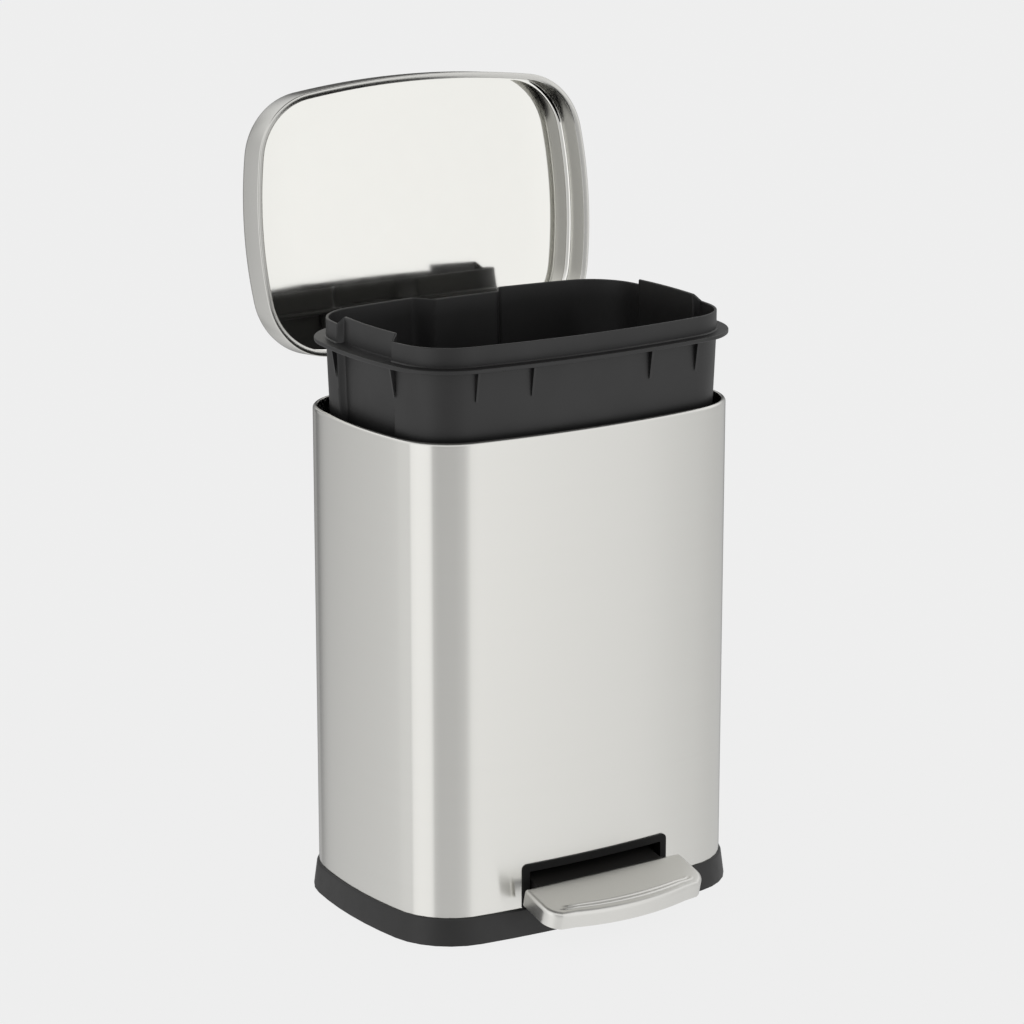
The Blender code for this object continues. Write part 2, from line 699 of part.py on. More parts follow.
def make_bracket():
    """The hinge bracket: pad, two gussets, the knuckle round the pin, and the crank."""
    pad_low, pad_top = bracket_pad_z()
    front, rear = bracket_pad_y()
    bracket = box("lid_bracket", (-BRACKET_HALF, front, pad_low), (BRACKET_HALF, rear, pad_top),
                  "base")
    half = EAR_IN - 0.0006
    join(bracket, cylinder("knuckle", KNUCKLE_R, (-half, *PIVOT.yz), (half, *PIVOT.yz), sides=24))
    above = pad_low + BRACKET_PAD_T / 2
    web = [(PIVOT.y - 0.0035, PIVOT.z - 0.0035), (PIVOT.y + 0.002, PIVOT.z + 0.0045),
           (rear - 0.001, above), (front + 0.004, above), (REAR - 0.012, LID_RIM + 0.006),
           (REAR - 0.004, LID_RIM + 0.0025)]
    for side in (-1, 1):
        middle = side * GUSSET_X
        join(bracket, plate(f"gusset_{side}", web, "X", middle - GUSSET_T / 2,
                            middle + GUSSET_T / 2))
    pin = crank_pin(CRANK_SHUT)
    along = Vector((0, -math.cos(CRANK_SHUT), math.sin(CRANK_SHUT)))
    across = Vector((0, along.z, -along.y))
    width = CRANK_EYE_R * 0.9
    arm = [PIVOT - along * 0.001 + across * width, PIVOT - along * 0.001 - across * width,
           pin - across * width, pin + across * width]
    join(bracket, plate("crank_arm", [tuple(point.yz) for point in arm], "X",
                        -CRANK_T / 2, CRANK_T / 2))
    join(bracket, cylinder("crank_eye", CRANK_EYE_R, (-CRANK_T / 2 - 0.0004, *pin.yz),
                           (CRANK_T / 2 + 0.0004, *pin.yz)))
    cut(bracket, cylinder("crank_hole", ROD_R + FIT, (-0.01, *pin.yz), (0.01, *pin.yz), sides=16))
    cut(bracket, cylinder("pin_hole", PIN_R + FIT, (-0.04, *PIVOT.yz), (0.04, *PIVOT.yz), sides=16))
    for k, (x, y) in enumerate(bracket_nut_places()):
        cut(bracket, cylinder(f"bracket_hole_{k}", SCREW_R + FIT, (x, y, pad_low - 0.002),
                              (x, y, pad_top + 0.002), sides=12))
    return bracket


def crank_pin(angle):
    """The crank pin's centre when the crank is at an angle above the forward direction."""
    return PIVOT + CRANK_R * Vector((0, -math.cos(angle), math.sin(angle)))


# ---------------------------------------------------------------- linkage
def foot_track():
    """Y of the push rod's foot when shut, when furthest forward, and when open."""
    shut = crank_pin(CRANK_SHUT).y - ROD_JOG
    forward = PIVOT.y - CRANK_R - ROD_JOG
    lifted = crank_pin(CRANK_OPEN).y - ROD_JOG
    return shut, forward, lifted


def wire(name, points, radius, finish, resolution=2):
    """A round wire through points, as a closed mesh."""
    curve = bpy.data.curves.new(name, "CURVE")
    curve.dimensions = "3D"
    curve.bevel_depth = radius
    curve.bevel_resolution = resolution
    curve.use_fill_caps = True
    spline = curve.splines.new("POLY")
    spline.points.add(len(points) - 1)
    for point, place in zip(spline.points, points):
        point.co = (*place, 1)
    drawn = bpy.data.objects.new(name + "_line", curve)
    bpy.data.collections[CUTTERS].objects.link(drawn)
    seen = drawn.evaluated_get(bpy.context.evaluated_depsgraph_get())
    mesh = bpy.data.meshes.new_from_object(seen)
    bm = bmesh.new()
    bm.from_mesh(mesh)
    bmesh.ops.remove_doubles(bm, verts=bm.verts, dist=0.00001)
    bmesh.ops.recalc_face_normals(bm, faces=bm.faces)
    bm.to_mesh(mesh)
    bm.free()
    mesh.materials.clear()
    item = add_object(name, mesh, finish)
    bpy.data.objects.remove(drawn)
    return item


def make_push_rod(frame):
    """The bent wire from the lever's slot to the crank, with its collar and its clip."""
    pin = crank_pin(CRANK_SHUT)
    foot_y = pin.y - ROD_JOG
    bend = [(ROD_X + ROD_BEND_R - u, pin.y, pin.z - ROD_BEND_R + v)
            for u, v in arc((0, 0), ROD_BEND_R, math.pi / 2, 0, 5)]
    far = CRANK_T / 2 + 0.0045
    points = [(far, pin.y, pin.z)] + bend
    points += [(ROD_X, pin.y, CHANNEL_TOP - 0.010), (ROD_X, foot_y, COVER_TOP + 0.025),
               (ROD_X, foot_y, ROD_TIP_Z)]
    rod = wire("push_rod", points, ROD_R, "zinc")
    collar_low = ARM_Z + ARM_T + ROD_COLLAR_GAP
    join(rod, cylinder("rod_collar", ROD_COLLAR_R, (ROD_X, foot_y, collar_low),
                       (ROD_X, foot_y, collar_low + ROD_COLLAR_H), sides=16))
    ring = clip("rod_clip", ROD_R + FIT / 2, ROD_R + 0.0018, 0.0008,
                (CRANK_T / 2 + 0.0004 + TOUCH, *pin.yz), (1, 0, 0))
    carry(frame, rod, ring)


def make_damper_rod(frame):
    """The damper's rod, with a collar under the lever's arm."""
    top = COVER_TOP + TOUCH + 0.012
    collar_top = ARM_Z - DAMPER_COLLAR_GAP
    foot = collar_top - DAMPER_COLLAR_H
    profile = [(0, top - foot), (DAMPER_ROD_R, top - foot), (DAMPER_ROD_R, DAMPER_COLLAR_H),
               (0.0035, DAMPER_COLLAR_H), (0.0035, 0), (0, 0)]
    rod = turned("damper_rod", profile, (DAMPER_X, DAMPER_Y, foot), (0, 0, 1), "zinc", steps=16)
    carry(frame, rod)


def slot_ends(low_y, high_y, radius):
    """Ends of a slot in the level arm that clears an upright rod as the arm tilts."""
    tilt = math.sin(PEDAL_TURN)
    drop_top = AXLE_Z - ARM_Z - ARM_T
    drop_low = AXLE_Z - ARM_Z
    near = (low_y - AXLE.y) - tilt * drop_low * 0.5 - radius
    reach = (high_y - AXLE.y - tilt * drop_top) / math.cos(PEDAL_TURN)
    far = max(high_y - AXLE.y, reach) + radius / math.cos(PEDAL_TURN)
    return AXLE.y + near - SLOT_PLAY, AXLE.y + far + SLOT_PLAY


def make_lever(frame):
    """The pedal lever: plate under the tread, neck, side ribs, hubs and the slotted rear arm."""
    front_edge = FRONT - TREAD_BACK - TREAD_LEN
    under = TREAD_TOP - SHEET - TOUCH
    arm_top = ARM_Z + ARM_T
    shut, forward, lifted = foot_track()
    rod_near, rod_far = slot_ends(forward, max(shut, lifted), ROD_R)
    damper_near, damper_far = slot_ends(DAMPER_Y, DAMPER_Y, DAMPER_ROD_R)
    arm_end = max(rod_far, damper_far) + 0.003
    neck_y = AXLE.y + 0.008
    lever = box("pedal_lever", (-LEVER_HALF, FRONT - 0.012, NECK_LOW), (LEVER_HALF, neck_y,
                NECK_HIGH), "lever")
    join(lever, box("tread_plate", (-LEVER_HALF, front_edge + 0.0125, under - 0.003),
                    (LEVER_HALF, FRONT - TREAD_BACK + 0.0012, under)))
    join(lever, box("web", (-LEVER_HALF, neck_y - 0.005, ARM_Z + 0.001),
                    (LEVER_HALF, neck_y, NECK_HIGH - 0.001)))
    join(lever, box("arm", (-ARM_HALF, neck_y - 0.004, ARM_Z), (ARM_HALF, arm_end, arm_top)))
    rib = [(FRONT - 0.008, NECK_LOW - 0.0008), (AXLE.y - 0.016, NECK_LOW - 0.0008),
           (AXLE.y - 0.006, AXLE_Z - 0.006), (neck_y - 0.001, AXLE_Z - 0.006),
           (neck_y - 0.001, NECK_HIGH - 0.0015), (FRONT - 0.008, NECK_HIGH - 0.0015)]
    for side in (-1, 1):
        outer = side * (LEVER_HALF - 0.001)
        inner = side * (LEVER_HALF - 0.001 - LEVER_RIB_T)
        join(lever, plate(f"rib_{side}", rib, "X", min(outer, inner), max(outer, inner)))
        hub_in = side * (LEVER_HALF - HUB_W)
        join(lever, cylinder(f"hub_{side}", HUB_R, (side * LEVER_HALF, *AXLE.yz),
                             (hub_in, *AXLE.yz), sides=24))
        edge = side * (ARM_HALF - 0.0005)
        back = side * (ARM_HALF - 0.0035)
        join(lever, box(f"arm_rib_{side}", (min(edge, back), neck_y - 0.002, ARM_Z + 0.001),
                        (max(edge, back), REAR - 0.045, arm_top + ARM_RIB_H)))
    cut(lever, cylinder("hub_bore", AXLE_R + FIT, (-0.08, *AXLE.yz), (0.08, *AXLE.yz)))
    low, high = ARM_Z - 0.004, arm_top + 0.004
    width = ROD_R + 0.0007
    cut(lever, box("rod_slot", (ROD_X - width, rod_near, low), (ROD_X + width, rod_far, high)))
    width = DAMPER_ROD_R + 0.0007
    cut(lever, box("damper_slot", (DAMPER_X - width, damper_near, low),
                   (DAMPER_X + width, damper_far, high)))
    stud_y = stud_place()
    for side in (-1, 1):
        cut(lever, cylinder(f"stud_way_{side}", STUD_R + FIT, (side * STUD_X, stud_y, 0.03),
                            (side * STUD_X, stud_y, 0.06), sides=16))
    carry(frame, lever)


def stud_place():
    """Y of the two studs under the tread."""
    return FRONT - TREAD_BACK - TREAD_LEN * 0.45


def make_tread(frame):
    """The stamped foot plate with its two studs, and the nuts below the lever's plate."""
    outline = tread_plan()
    skirt = TREAD_TOP - TREAD_SKIRT
    inner_r = TREAD_EDGE_R - SHEET
    shoulder = TREAD_TOP - TREAD_EDGE_R
    profile = arc((-TREAD_EDGE_R, shoulder), TREAD_EDGE_R, math.pi / 2, 0, 3)
    profile += [(0, skirt), (-SHEET, skirt)]
    profile += arc((-TREAD_EDGE_R, shoulder), inner_r, 0, math.pi / 2, 3)
    tread = sweep("pedal_tread", profile, "steel", plan=lambda grow: offset_plan(outline, grow))
    back = FRONT - TREAD_BACK
    gap = LEVER_HALF + 0.002
    cut(tread, box("tread_back", (-gap, back - TREAD_EDGE_R - 0.0001, skirt - 0.005),
                   (gap, back + 0.005, TREAD_TOP - SHEET - 0.0002)))
    pieces = [tread]
    plate_low = TREAD_TOP - SHEET - TOUCH - 0.003
    nut_top = plate_low - TOUCH
    stud_y = stud_place()
    for name, side in (("tread_nut_left", -1), ("tread_nut_right", 1)):
        x = side * STUD_X
        join(tread, cylinder(f"stud_{side}", STUD_R, (x, stud_y, nut_top - NUT_H - 0.0008),
                             (x, stud_y, TREAD_TOP - SHEET / 2), sides=12))
        pieces.append(nut(name, STUD_R, (x, stud_y, nut_top - NUT_H)))
    carry(frame, *pieces)


# ---------------------------------------------------------------- bucket
def ramp(distance, half, width):
    """1 inside a half width, falling smoothly to 0 over a ramp beyond it."""
    share = min(max((half + width - abs(distance)) / width, 0), 1)
    return share * share * (3 - 2 * share)


def bucket_ring(grow, height, scallop=1.0, dent=1.0, tab=0.0):
    """One ring of the bucket's wall, with its rear scallop, side dents and finger tabs."""
    depth = DEPTH - BUCKET_REAR_GAP
    shift = -BUCKET_REAR_GAP / 2
    side_marks = (TAB_HALF, TAB_HALF + TAB_RAMP)
    end_marks = tuple(SCALLOP_HALF + SCALLOP_RAMP * k / 3 for k in range(4))
    ring = []
    for x, y in body_plan(grow, depth, shift, side_marks, end_marks):
        lift = 0.0
        if y > 0:
            y -= scallop * SCALLOP_IN * ramp(x, SCALLOP_HALF, SCALLOP_RAMP)
        if abs(x) > WIDTH * 0.4:
            share = ramp(y - shift, TAB_HALF, TAB_RAMP)
            x -= math.copysign(dent * TAB_IN * share, x)
            lift = tab * TAB_UP * share
        ring.append((x, y, height + lift))
    return ring


def make_bucket(frame):
    """The lift-out bucket: drafted wall, flange, rim with two finger tabs, and fins."""
    floor = COVER_TOP + BUCKET_FLOOR_GAP
    flange_top = FLANGE_Z + FLANGE_T
    rim = flange_top + BUCKET_RIM_H
    wall = FLANGE_OUT - FLANGE_W
    lean = math.tan(BUCKET_DRAFT)
    foot = wall - lean * (FLANGE_Z - floor)
    inside = floor + BUCKET_WALL
    rings = [bucket_ring(foot - BUCKET_FOOT_R, floor)]
    for out, up in arc((0, 0), BUCKET_FOOT_R, -math.pi / 2, 0, 3)[1:]:
        rings.append(bucket_ring(foot - BUCKET_FOOT_R + out, floor + BUCKET_FOOT_R + up))
    rings.append(bucket_ring(wall, FLANGE_Z))
    rings.append(bucket_ring(FLANGE_OUT, FLANGE_Z, dent=0.0))
    rings.append(bucket_ring(FLANGE_OUT, flange_top, dent=0.0))
    rings.append(bucket_ring(wall, flange_top))
    rings.append(bucket_ring(wall, rim, tab=1.0))
    rings.append(bucket_ring(wall - BUCKET_WALL, rim, tab=1.0))
    rings.append(bucket_ring(wall - BUCKET_WALL, flange_top))
    rings.append(bucket_ring(foot - BUCKET_WALL, floor + BUCKET_FOOT_R))
    rings.append(bucket_ring(foot - BUCKET_FOOT_R, inside))
    bucket = loft("inner_bucket", rings, "bucket")
    for index, (place, turn) in enumerate(fin_places()):
        join(bucket, make_fin(f"fin_{index}", place, turn))
    carry(frame, bucket)


def fin_places():
    """Where the fins stand under the flange: a point on the wall and the outward direction."""
    wall = FLANGE_OUT - FLANGE_W
    places = []
    for x in FIN_X:
        drop = bow_drop(x) * FRONT_BOW_R / (FRONT_BOW_R + wall)
        for side in (-1, 1):
            places.append(((side * x, FRONT - wall + drop), -math.pi / 2))
            places.append(((side * x, REAR - BUCKET_REAR_GAP + wall - drop), math.pi / 2))
    beside = TAB_HALF + TAB_RAMP + FIN_BESIDE
    for y in (-BUCKET_REAR_GAP / 2 - beside, -BUCKET_REAR_GAP / 2 + beside):
        drop = SIDE_BOW_R - math.sqrt(SIDE_BOW_R ** 2 - beside ** 2)
        for side, turn in ((-1, math.pi), (1, 0)):
            places.append(((side * (WIDTH / 2 + wall - drop), y), turn))
    return places


def make_fin(name, place, turn):
    """A thin triangle that is deepest under the flange."""
    sunk = -BUCKET_WALL * 0.6
    outline = [(sunk, FLANGE_Z + 0.001), (FIN_OUT, FLANGE_Z + 0.001), (FIN_OUT, FLANGE_Z - 0.0015),
               (sunk - FIN_H * math.tan(BUCKET_DRAFT) / 2, FLANGE_Z - FIN_H)]
    fin = plate(name, outline, "Y", -FIN_T / 2, FIN_T / 2)
    fin.location = (*place, 0)
    fin.rotation_euler = (0, 0, turn)
    return fin


# ---------------------------------------------------------------- assembly
def main():
    """Build the whole bin in its open state."""
    clear_scene()
    make_outer_shell()
    make_base_tray()
    make_foot_pads()
    make_mechanism_cover()
    make_rear_channel()
    make_pedal_bezel()
    make_axle()
    make_hinge_housing()
    make_hinge_pin()
    make_damper_cylinder()
    pin_shut, pin_open = crank_pin(CRANK_SHUT), crank_pin(CRANK_OPEN)
    damper_foot = Vector((DAMPER_X, DAMPER_Y, 0))
    make_lid(joint_empty("lid_frame", PIVOT, -LID_OPEN))
    make_push_rod(joint_empty("rod_frame", pin_shut, open_place=pin_open))
    make_damper_rod(joint_empty("damper_frame", damper_foot,
                                open_place=damper_foot + Vector((0, 0, DAMPER_TRAVEL))))
    pedal_frame = joint_empty("pedal_frame", AXLE, PEDAL_TURN)
    make_lever(pedal_frame)
    make_tread(pedal_frame)
    make_bucket(joint_empty("bucket_frame", Vector((0, 0, 0)),
                            open_place=Vector((0, 0, BUCKET_LIFT))))


main()
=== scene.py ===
"""The look of a pedal bin: brushed steel body and lid, black mouldings and a stamped foot plate.

Sizes are in metres. The main sizes and the joints come from the loaded frame, and the rest are the
small sizes of sheet, folds and mouldings below. The lid, the foot plate and the bucket are drawn
where they are when the bin is shut, and then carried to the open bin on their joints.
"""
import json
import math

import bmesh
import bpy
from mathutils import Matrix, Vector
from mathutils.geometry import intersect_sphere_sphere_2d


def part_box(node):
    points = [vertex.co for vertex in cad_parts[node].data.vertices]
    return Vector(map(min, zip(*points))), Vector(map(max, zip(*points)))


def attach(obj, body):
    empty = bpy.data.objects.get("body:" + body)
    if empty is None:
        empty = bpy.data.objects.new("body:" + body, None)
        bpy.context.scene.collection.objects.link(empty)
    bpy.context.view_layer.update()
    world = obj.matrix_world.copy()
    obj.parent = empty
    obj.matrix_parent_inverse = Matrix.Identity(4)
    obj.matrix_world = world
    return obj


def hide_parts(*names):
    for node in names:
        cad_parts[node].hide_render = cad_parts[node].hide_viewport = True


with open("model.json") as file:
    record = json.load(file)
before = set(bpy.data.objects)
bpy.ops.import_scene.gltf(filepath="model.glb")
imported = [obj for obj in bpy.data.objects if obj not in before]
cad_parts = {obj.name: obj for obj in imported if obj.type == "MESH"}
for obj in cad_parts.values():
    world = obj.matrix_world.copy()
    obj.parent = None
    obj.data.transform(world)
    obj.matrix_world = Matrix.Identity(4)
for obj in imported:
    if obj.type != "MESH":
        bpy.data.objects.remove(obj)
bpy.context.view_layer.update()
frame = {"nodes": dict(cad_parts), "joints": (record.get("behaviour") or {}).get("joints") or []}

# ---------------------------------------------------------------- sizes from the frame
SHELL_LOW, SHELL_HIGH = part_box("outer_shell")
WIDTH = SHELL_HIGH.x - SHELL_LOW.x
DEPTH = SHELL_HIGH.y - SHELL_LOW.y
FRONT, REAR = -DEPTH / 2, DEPTH / 2
BODY_FOOT, BODY_TOP = SHELL_LOW.z, SHELL_HIGH.z
BEZEL_LOW, BEZEL_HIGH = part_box("pedal_bezel")
FLOOR_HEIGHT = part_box("inner_bucket")[0].z

JOINTS = {joint["name"]: joint for joint in frame["joints"]}
PIVOT = Vector(JOINTS["lid_hinge"]["pos_m"])
AXLE = Vector(JOINTS["pedal_pivot"]["pos_m"])
LID_OPEN = math.radians(JOINTS["lid_hinge"]["range_deg"][1])
PEDAL_TURN = -math.radians(JOINTS["pedal_pivot"]["range_deg"][0])
BUCKET_LIFT = 0.048

# ---------------------------------------------------------------- sizes of sheet and mouldings
CORNER_R = 0.049
FRONT_BOW_R = 0.696
SIDE_BOW_R = 0.334
SHEET = 0.0008
TOUCH = 0.0003
RIM_IN = 0.0032
RIM_R = 0.0024
RIM_EDGE_R = 0.0006
RIM_FOLD = 0.0026
SLOT_LAP = 0.0033
CRANK_HALF = 0.0125
NOTCH_FOOT = BODY_TOP - 0.0195
SLOT_FOOT_UP = 0.010
ROW_NEAR, ROW_FAR, ROW_RIM = 0.001, 0.003, 0.004
SLOT_REACH_OUT, SLOT_REACH_IN = 0.01, 0.02
CRANK_REACH_IN, CRANK_REACH_OUT = 0.012, 0.005

FLANGE_Z = BODY_TOP + TOUCH
FLANGE_T = 0.003
FLANGE_OUT = 0.001
FLANGE_W = 0.0086
FLANGE_ROUND = 0.0008
FLANGE_FILLET = 0.0008
WALL_ROW, WALL_ROW_INSIDE, TAB_ROOT = 0.03, 0.10, 0.004
BUCKET_REAR_GAP = 0.006
BUCKET_RIM_H = 0.014
BUCKET_WALL = 0.002
BUCKET_DRAFT = math.radians(2.3)
BUCKET_FOOT_R = 0.005
SCALLOP_HALF, SCALLOP_RAMP, SCALLOP_IN = 0.026, 0.013, 0.014
TAB_HALF, TAB_RAMP, TAB_IN, TAB_UP = 0.034, 0.003, 0.005, 0.005
FIN_OUT, FIN_H, FIN_T = 0.0036, 0.022, 0.0018
FIN_X = (0.050, 0.093)
FIN_BESIDE = 0.0025

LID_RIM = FLANGE_Z + FLANGE_T + TOUCH
LID_H = 0.027
LID_TOP = LID_RIM + LID_H
LID_OUT = 0.0019
LID_EDGE_R = 0.0063
LID_CROWN, LID_CROWN_RUN = 0.0012, 0.038
LID_HEM = 0.0042
LID_HEM_R = 0.0011
LID_INNER_R = 0.0042
HEM_TURN = 0.38
# The hem's end, as (outwards from its lip, up from the lid's rim), and then its root on the wall.
HEM_LIP = ((0.0, 0.0010), (-0.0003, 0.0014), (-0.0002, 0.0019))
HEM_BACK = (0.0008, 0.0022)
HEM_ROOT = ((-0.0006, 0.0026), (0.0, 0.0036))
BRUSHED_ROWS_INSIDE = 8
NOTCH_HALF = 0.032
NOTCH_REACH, NOTCH_BELOW, NOTCH_UNDER_EDGE = 0.010, 0.005, 0.002

TREAD_TOP = 0.048
TREAD_BACK = 0.0036
TREAD_LEN = 0.045
TREAD_HALF = 0.068
TREAD_BOW = 0.006
TREAD_CORNER = 0.016
TREAD_SKIRT = 0.0128
TREAD_EDGE_R = 0.003
TREAD_RIDGES = (0.0076, 0.0116)
TREAD_RIDGE_W = 0.0015
TREAD_RIDGE_H = 0.0008
RIDGE_STOP, RIDGE_FADE = 0.30, 0.008
RIDGE_ZONE = 0.016
TREAD_STEP, TREAD_STEPS = 0.0004, 25
TREAD_SWEEP, TREAD_CORNER_TURN = 0.92, 0.36
TREAD_REAR_R = 0.003
LEVER_HALF = 0.054
LEVER_CLEAR = 0.002

SCREW_HEAD_R, SCREW_HEAD_H, SCREW_RECESS = 0.0032, 0.0014, 0.0007
NUT_CORNERS, NUT_H = 0.008, 0.0026
BRACKET_STUD_R, TREAD_STUD_R = 0.0015, 0.002

# ---------------------------------------------------------------- studio
CAMERA_AT = Vector((-1.35491, -2.04783, 0.92466))
CAMERA_TURN = math.radians(-33.356)
CAMERA_UP = math.radians(14.660)
CAMERA_LENS = 122.459
SENSOR = 36.0
BACKDROP = 0.863
FLOOR_DIFFUSE = 0.03

# Brightness of the studio round the bin: degrees from the front towards +X, and level.
STUDIO = (
    (-180, 0.42), (-172, 0.22), (-168, 0.30), (-165, 0.62), (-150, 0.72), (-136, 0.79),
    (-123, 0.90), (-103, 0.93), (-100.5, 0.80), (-98.5, 1.20), (-85, 1.27), (-69, 1.25),
    (-63, 1.16), (-59, 0.72), (-50, 0.63), (-22, 0.65), (-8, 0.74), (-1, 0.90), (4, 1.10),
    (16, 1.16), (42, 1.00), (53, 0.80), (66, 0.77), (95, 0.70), (110, 0.64), (124, 0.50),
    (134, 0.25), (143, 0.08), (152, 0.08), (160, 0.28), (180, 0.42),
)
STUDIO_MEAN = 0.95
OVERHEAD = 1.12
ZENITH = 0.20
# Heights of direction, -1 straight down to 1 straight up, between which the studio changes.
CONTRAST_RISE, CONTRAST = (-0.36, -0.20), (0.75, 1.08)
OVERHEAD_RISE, ZENITH_RISE, FLOOR_FALL = (0.15, 0.6), (0.70, 0.92), (-0.45, -0.8)


# ---------------------------------------------------------------- node helpers
def node(tree, kind, inputs=None, **settings):
    """Add a node. Inputs go by name or number, and are values or other nodes' outputs."""
    made = tree.nodes.new(kind)
    for label, value in settings.items():
        setattr(made, label, value)
    for label, value in (inputs or {}).items():
        if isinstance(value, bpy.types.NodeSocket):
            tree.links.new(value, made.inputs[label])
        else:
            made.inputs[label].default_value = value
    return made


def math_node(tree, operation, first, second=0.0, third=0.0):
    """A Math node's result."""
    made = node(tree, "ShaderNodeMath", {0: first, 1: second, 2: third}, operation=operation)
    return made.outputs[0]


def remap(tree, value, low, high, to_low, to_high):
    """A value moved smoothly from one range to another."""
    made = node(tree, "ShaderNodeMapRange",
                {"Value": value, "From Min": low, "From Max": high, "To Min": to_low,
                 "To Max": to_high}, interpolation_type="SMOOTHSTEP")
    return made.outputs["Result"]


def mix_colour(tree, share, first, second):
    """One colour blended into another."""
    made = node(tree, "ShaderNodeMix", {0: share, 6: first, 7: second}, data_type="RGBA")
    return made.outputs[2]


def new_group(name, kind, inputs, outputs):
    """An empty node group with named sockets: (name, socket type, starting value)."""
    group = bpy.data.node_groups.new(name, kind)
    for label, socket_type, value in inputs:
        socket = group.interface.new_socket(label, in_out="INPUT", socket_type=socket_type)
        if value is not None:
            socket.default_value = value
    for label, socket_type in outputs:
        group.interface.new_socket(label, in_out="OUTPUT", socket_type=socket_type)
    return group, node(group, "NodeGroupInput").outputs, node(group, "NodeGroupOutput").inputs


# ---------------------------------------------------------------- shared effects
def brushing_group():
    """Fine parallel lines: slow along the grain, quick across it, with a broad soft unevenness."""
    group, given, result = new_group(
        "fine_brushing", "ShaderNodeTree",
        [("Vector", "NodeSocketVector", None), ("Along", "NodeSocketVector", (5.0, 5.0, 1600.0)),
         ("Unevenness", "NodeSocketFloat", 0.04)],
        [("Lines", "NodeSocketFloat"), ("Height", "NodeSocketFloat")])
    stretched = node(group, "ShaderNodeVectorMath", {0: given["Vector"], 1: given["Along"]},
                     operation="MULTIPLY").outputs[0]
    fine = node(group, "ShaderNodeTexNoise",
                {"Vector": stretched, "Scale": 1.0, "Detail": 3.0, "Roughness": 0.6})
    broad = node(group, "ShaderNodeTexNoise",
                 {"Vector": given["Vector"], "Scale": 14.0, "Detail": 2.0})
    blended = node(group, "ShaderNodeMix", {0: given["Unevenness"], 2: fine.outputs["Fac"],
                                            3: broad.outputs["Fac"]}).outputs[0]
    group.links.new(blended, result["Lines"])
    group.links.new(fine.outputs["Fac"], result["Height"])
    return group


def wear_group():
    """A mask of rubbed edges: convex edges, broken up by a patchy noise."""
    group, given, result = new_group(
        "rubbed_edges", "ShaderNodeTree",
        [("Vector", "NodeSocketVector", None), ("Pointiness", "NodeSocketFloat", 0.5),
         ("Start", "NodeSocketFloat", 0.52), ("Patch scale", "NodeSocketFloat", 120.0)],
        [("Mask", "NodeSocketFloat")])
    edge = node(group, "ShaderNodeMapRange",
                {"Value": given["Pointiness"], "From Min": given["Start"], "From Max": 0.62})
    patch = node(group, "ShaderNodeTexNoise",
                 {"Vector": given["Vector"], "Scale": given["Patch scale"], "Detail": 4.0})
    mask = math_node(group, "MULTIPLY", edge.outputs[0],
                     remap(group, patch.outputs["Fac"], 0.35, 0.65, 0.25, 1.0))
    group.links.new(mask, result["Mask"])
    return group


def grain_group():
    """The skin of a moulding: a fine spark-eroded grain and slow changes of sheen."""
    group, given, result = new_group(
        "moulded_grain", "ShaderNodeTree",
        [("Vector", "NodeSocketVector", None), ("Scale", "NodeSocketFloat", 1900.0),
         ("Smoothest", "NodeSocketFloat", 0.38), ("Roughest", "NodeSocketFloat", 0.5)],
        [("Roughness", "NodeSocketFloat"), ("Height", "NodeSocketFloat"),
         ("Tone", "NodeSocketFloat")])
    pits = node(group, "ShaderNodeTexNoise",
                {"Vector": given["Vector"], "Scale": given["Scale"], "Detail": 2.0})
    slow = node(group, "ShaderNodeTexNoise",
                {"Vector": given["Vector"], "Scale": 22.0, "Detail": 3.0})
    sheen = node(group, "ShaderNodeMapRange",
                 {"Value": slow.outputs["Fac"], "From Min": 0.3, "From Max": 0.7,
                  "To Min": given["Smoothest"], "To Max": given["Roughest"]})
    group.links.new(sheen.outputs[0], result["Roughness"])
    group.links.new(pits.outputs["Fac"], result["Height"])
    group.links.new(slow.outputs["Fac"], result["Tone"])
    return group


def dust_group():
    """A thin film of dust on faces that look up."""
    group, given, result = new_group(
        "settled_dust", "ShaderNodeTree",
        [("Vector", "NodeSocketVector", None), ("Normal", "NodeSocketVector", None),
         ("Amount", "NodeSocketFloat", 0.05)],
        [("Mask", "NodeSocketFloat")])
    up = node(group, "ShaderNodeSeparateXYZ", {0: given["Normal"]}).outputs["Z"]
    specks = node(group, "ShaderNodeTexNoise",
                  {"Vector": given["Vector"], "Scale": 420.0, "Detail": 5.0})
    film = math_node(group, "MULTIPLY", remap(group, up, 0.5, 1.0, 0.0, 1.0),
                     remap(group, specks.outputs["Fac"], 0.4, 0.7, 0.3, 1.0))
    group.links.new(math_node(group, "MULTIPLY", film, given["Amount"]), result["Mask"])
    return group


BRUSHING = brushing_group()
WEAR = wear_group()
GRAIN = grain_group()
DUST = dust_group()


# ---------------------------------------------------------------- materials
def blank_material(name):
    """A material with its Principled shader, Object coordinates and Geometry node."""
    material = bpy.data.materials.new(name)
    material.use_nodes = True
    tree = material.node_tree
    shader = tree.nodes["Principled BSDF"]
    place = node(tree, "ShaderNodeTexCoord").outputs["Object"]
    surface = node(tree, "ShaderNodeNewGeometry").outputs
    return material, tree, shader, place, surface


def effect(tree, group, inputs):
    """A shared effect placed in a material; returns its outputs."""
    made = node(tree, "ShaderNodeGroup", node_tree=group)
    for label, value in inputs.items():
        if isinstance(value, bpy.types.NodeSocket):
            tree.links.new(value, made.inputs[label])
        else:
            made.inputs[label].default_value = value
    return made.outputs


def bump(tree, shader, height, depth, strength=1.0):
    """A Bump node on the shader's normal; depth is the real depth of the relief."""
    made = node(tree, "ShaderNodeBump", {"Height": height, "Distance": depth,
                                         "Strength": strength})
    tree.links.new(made.outputs["Normal"], shader.inputs["Normal"])


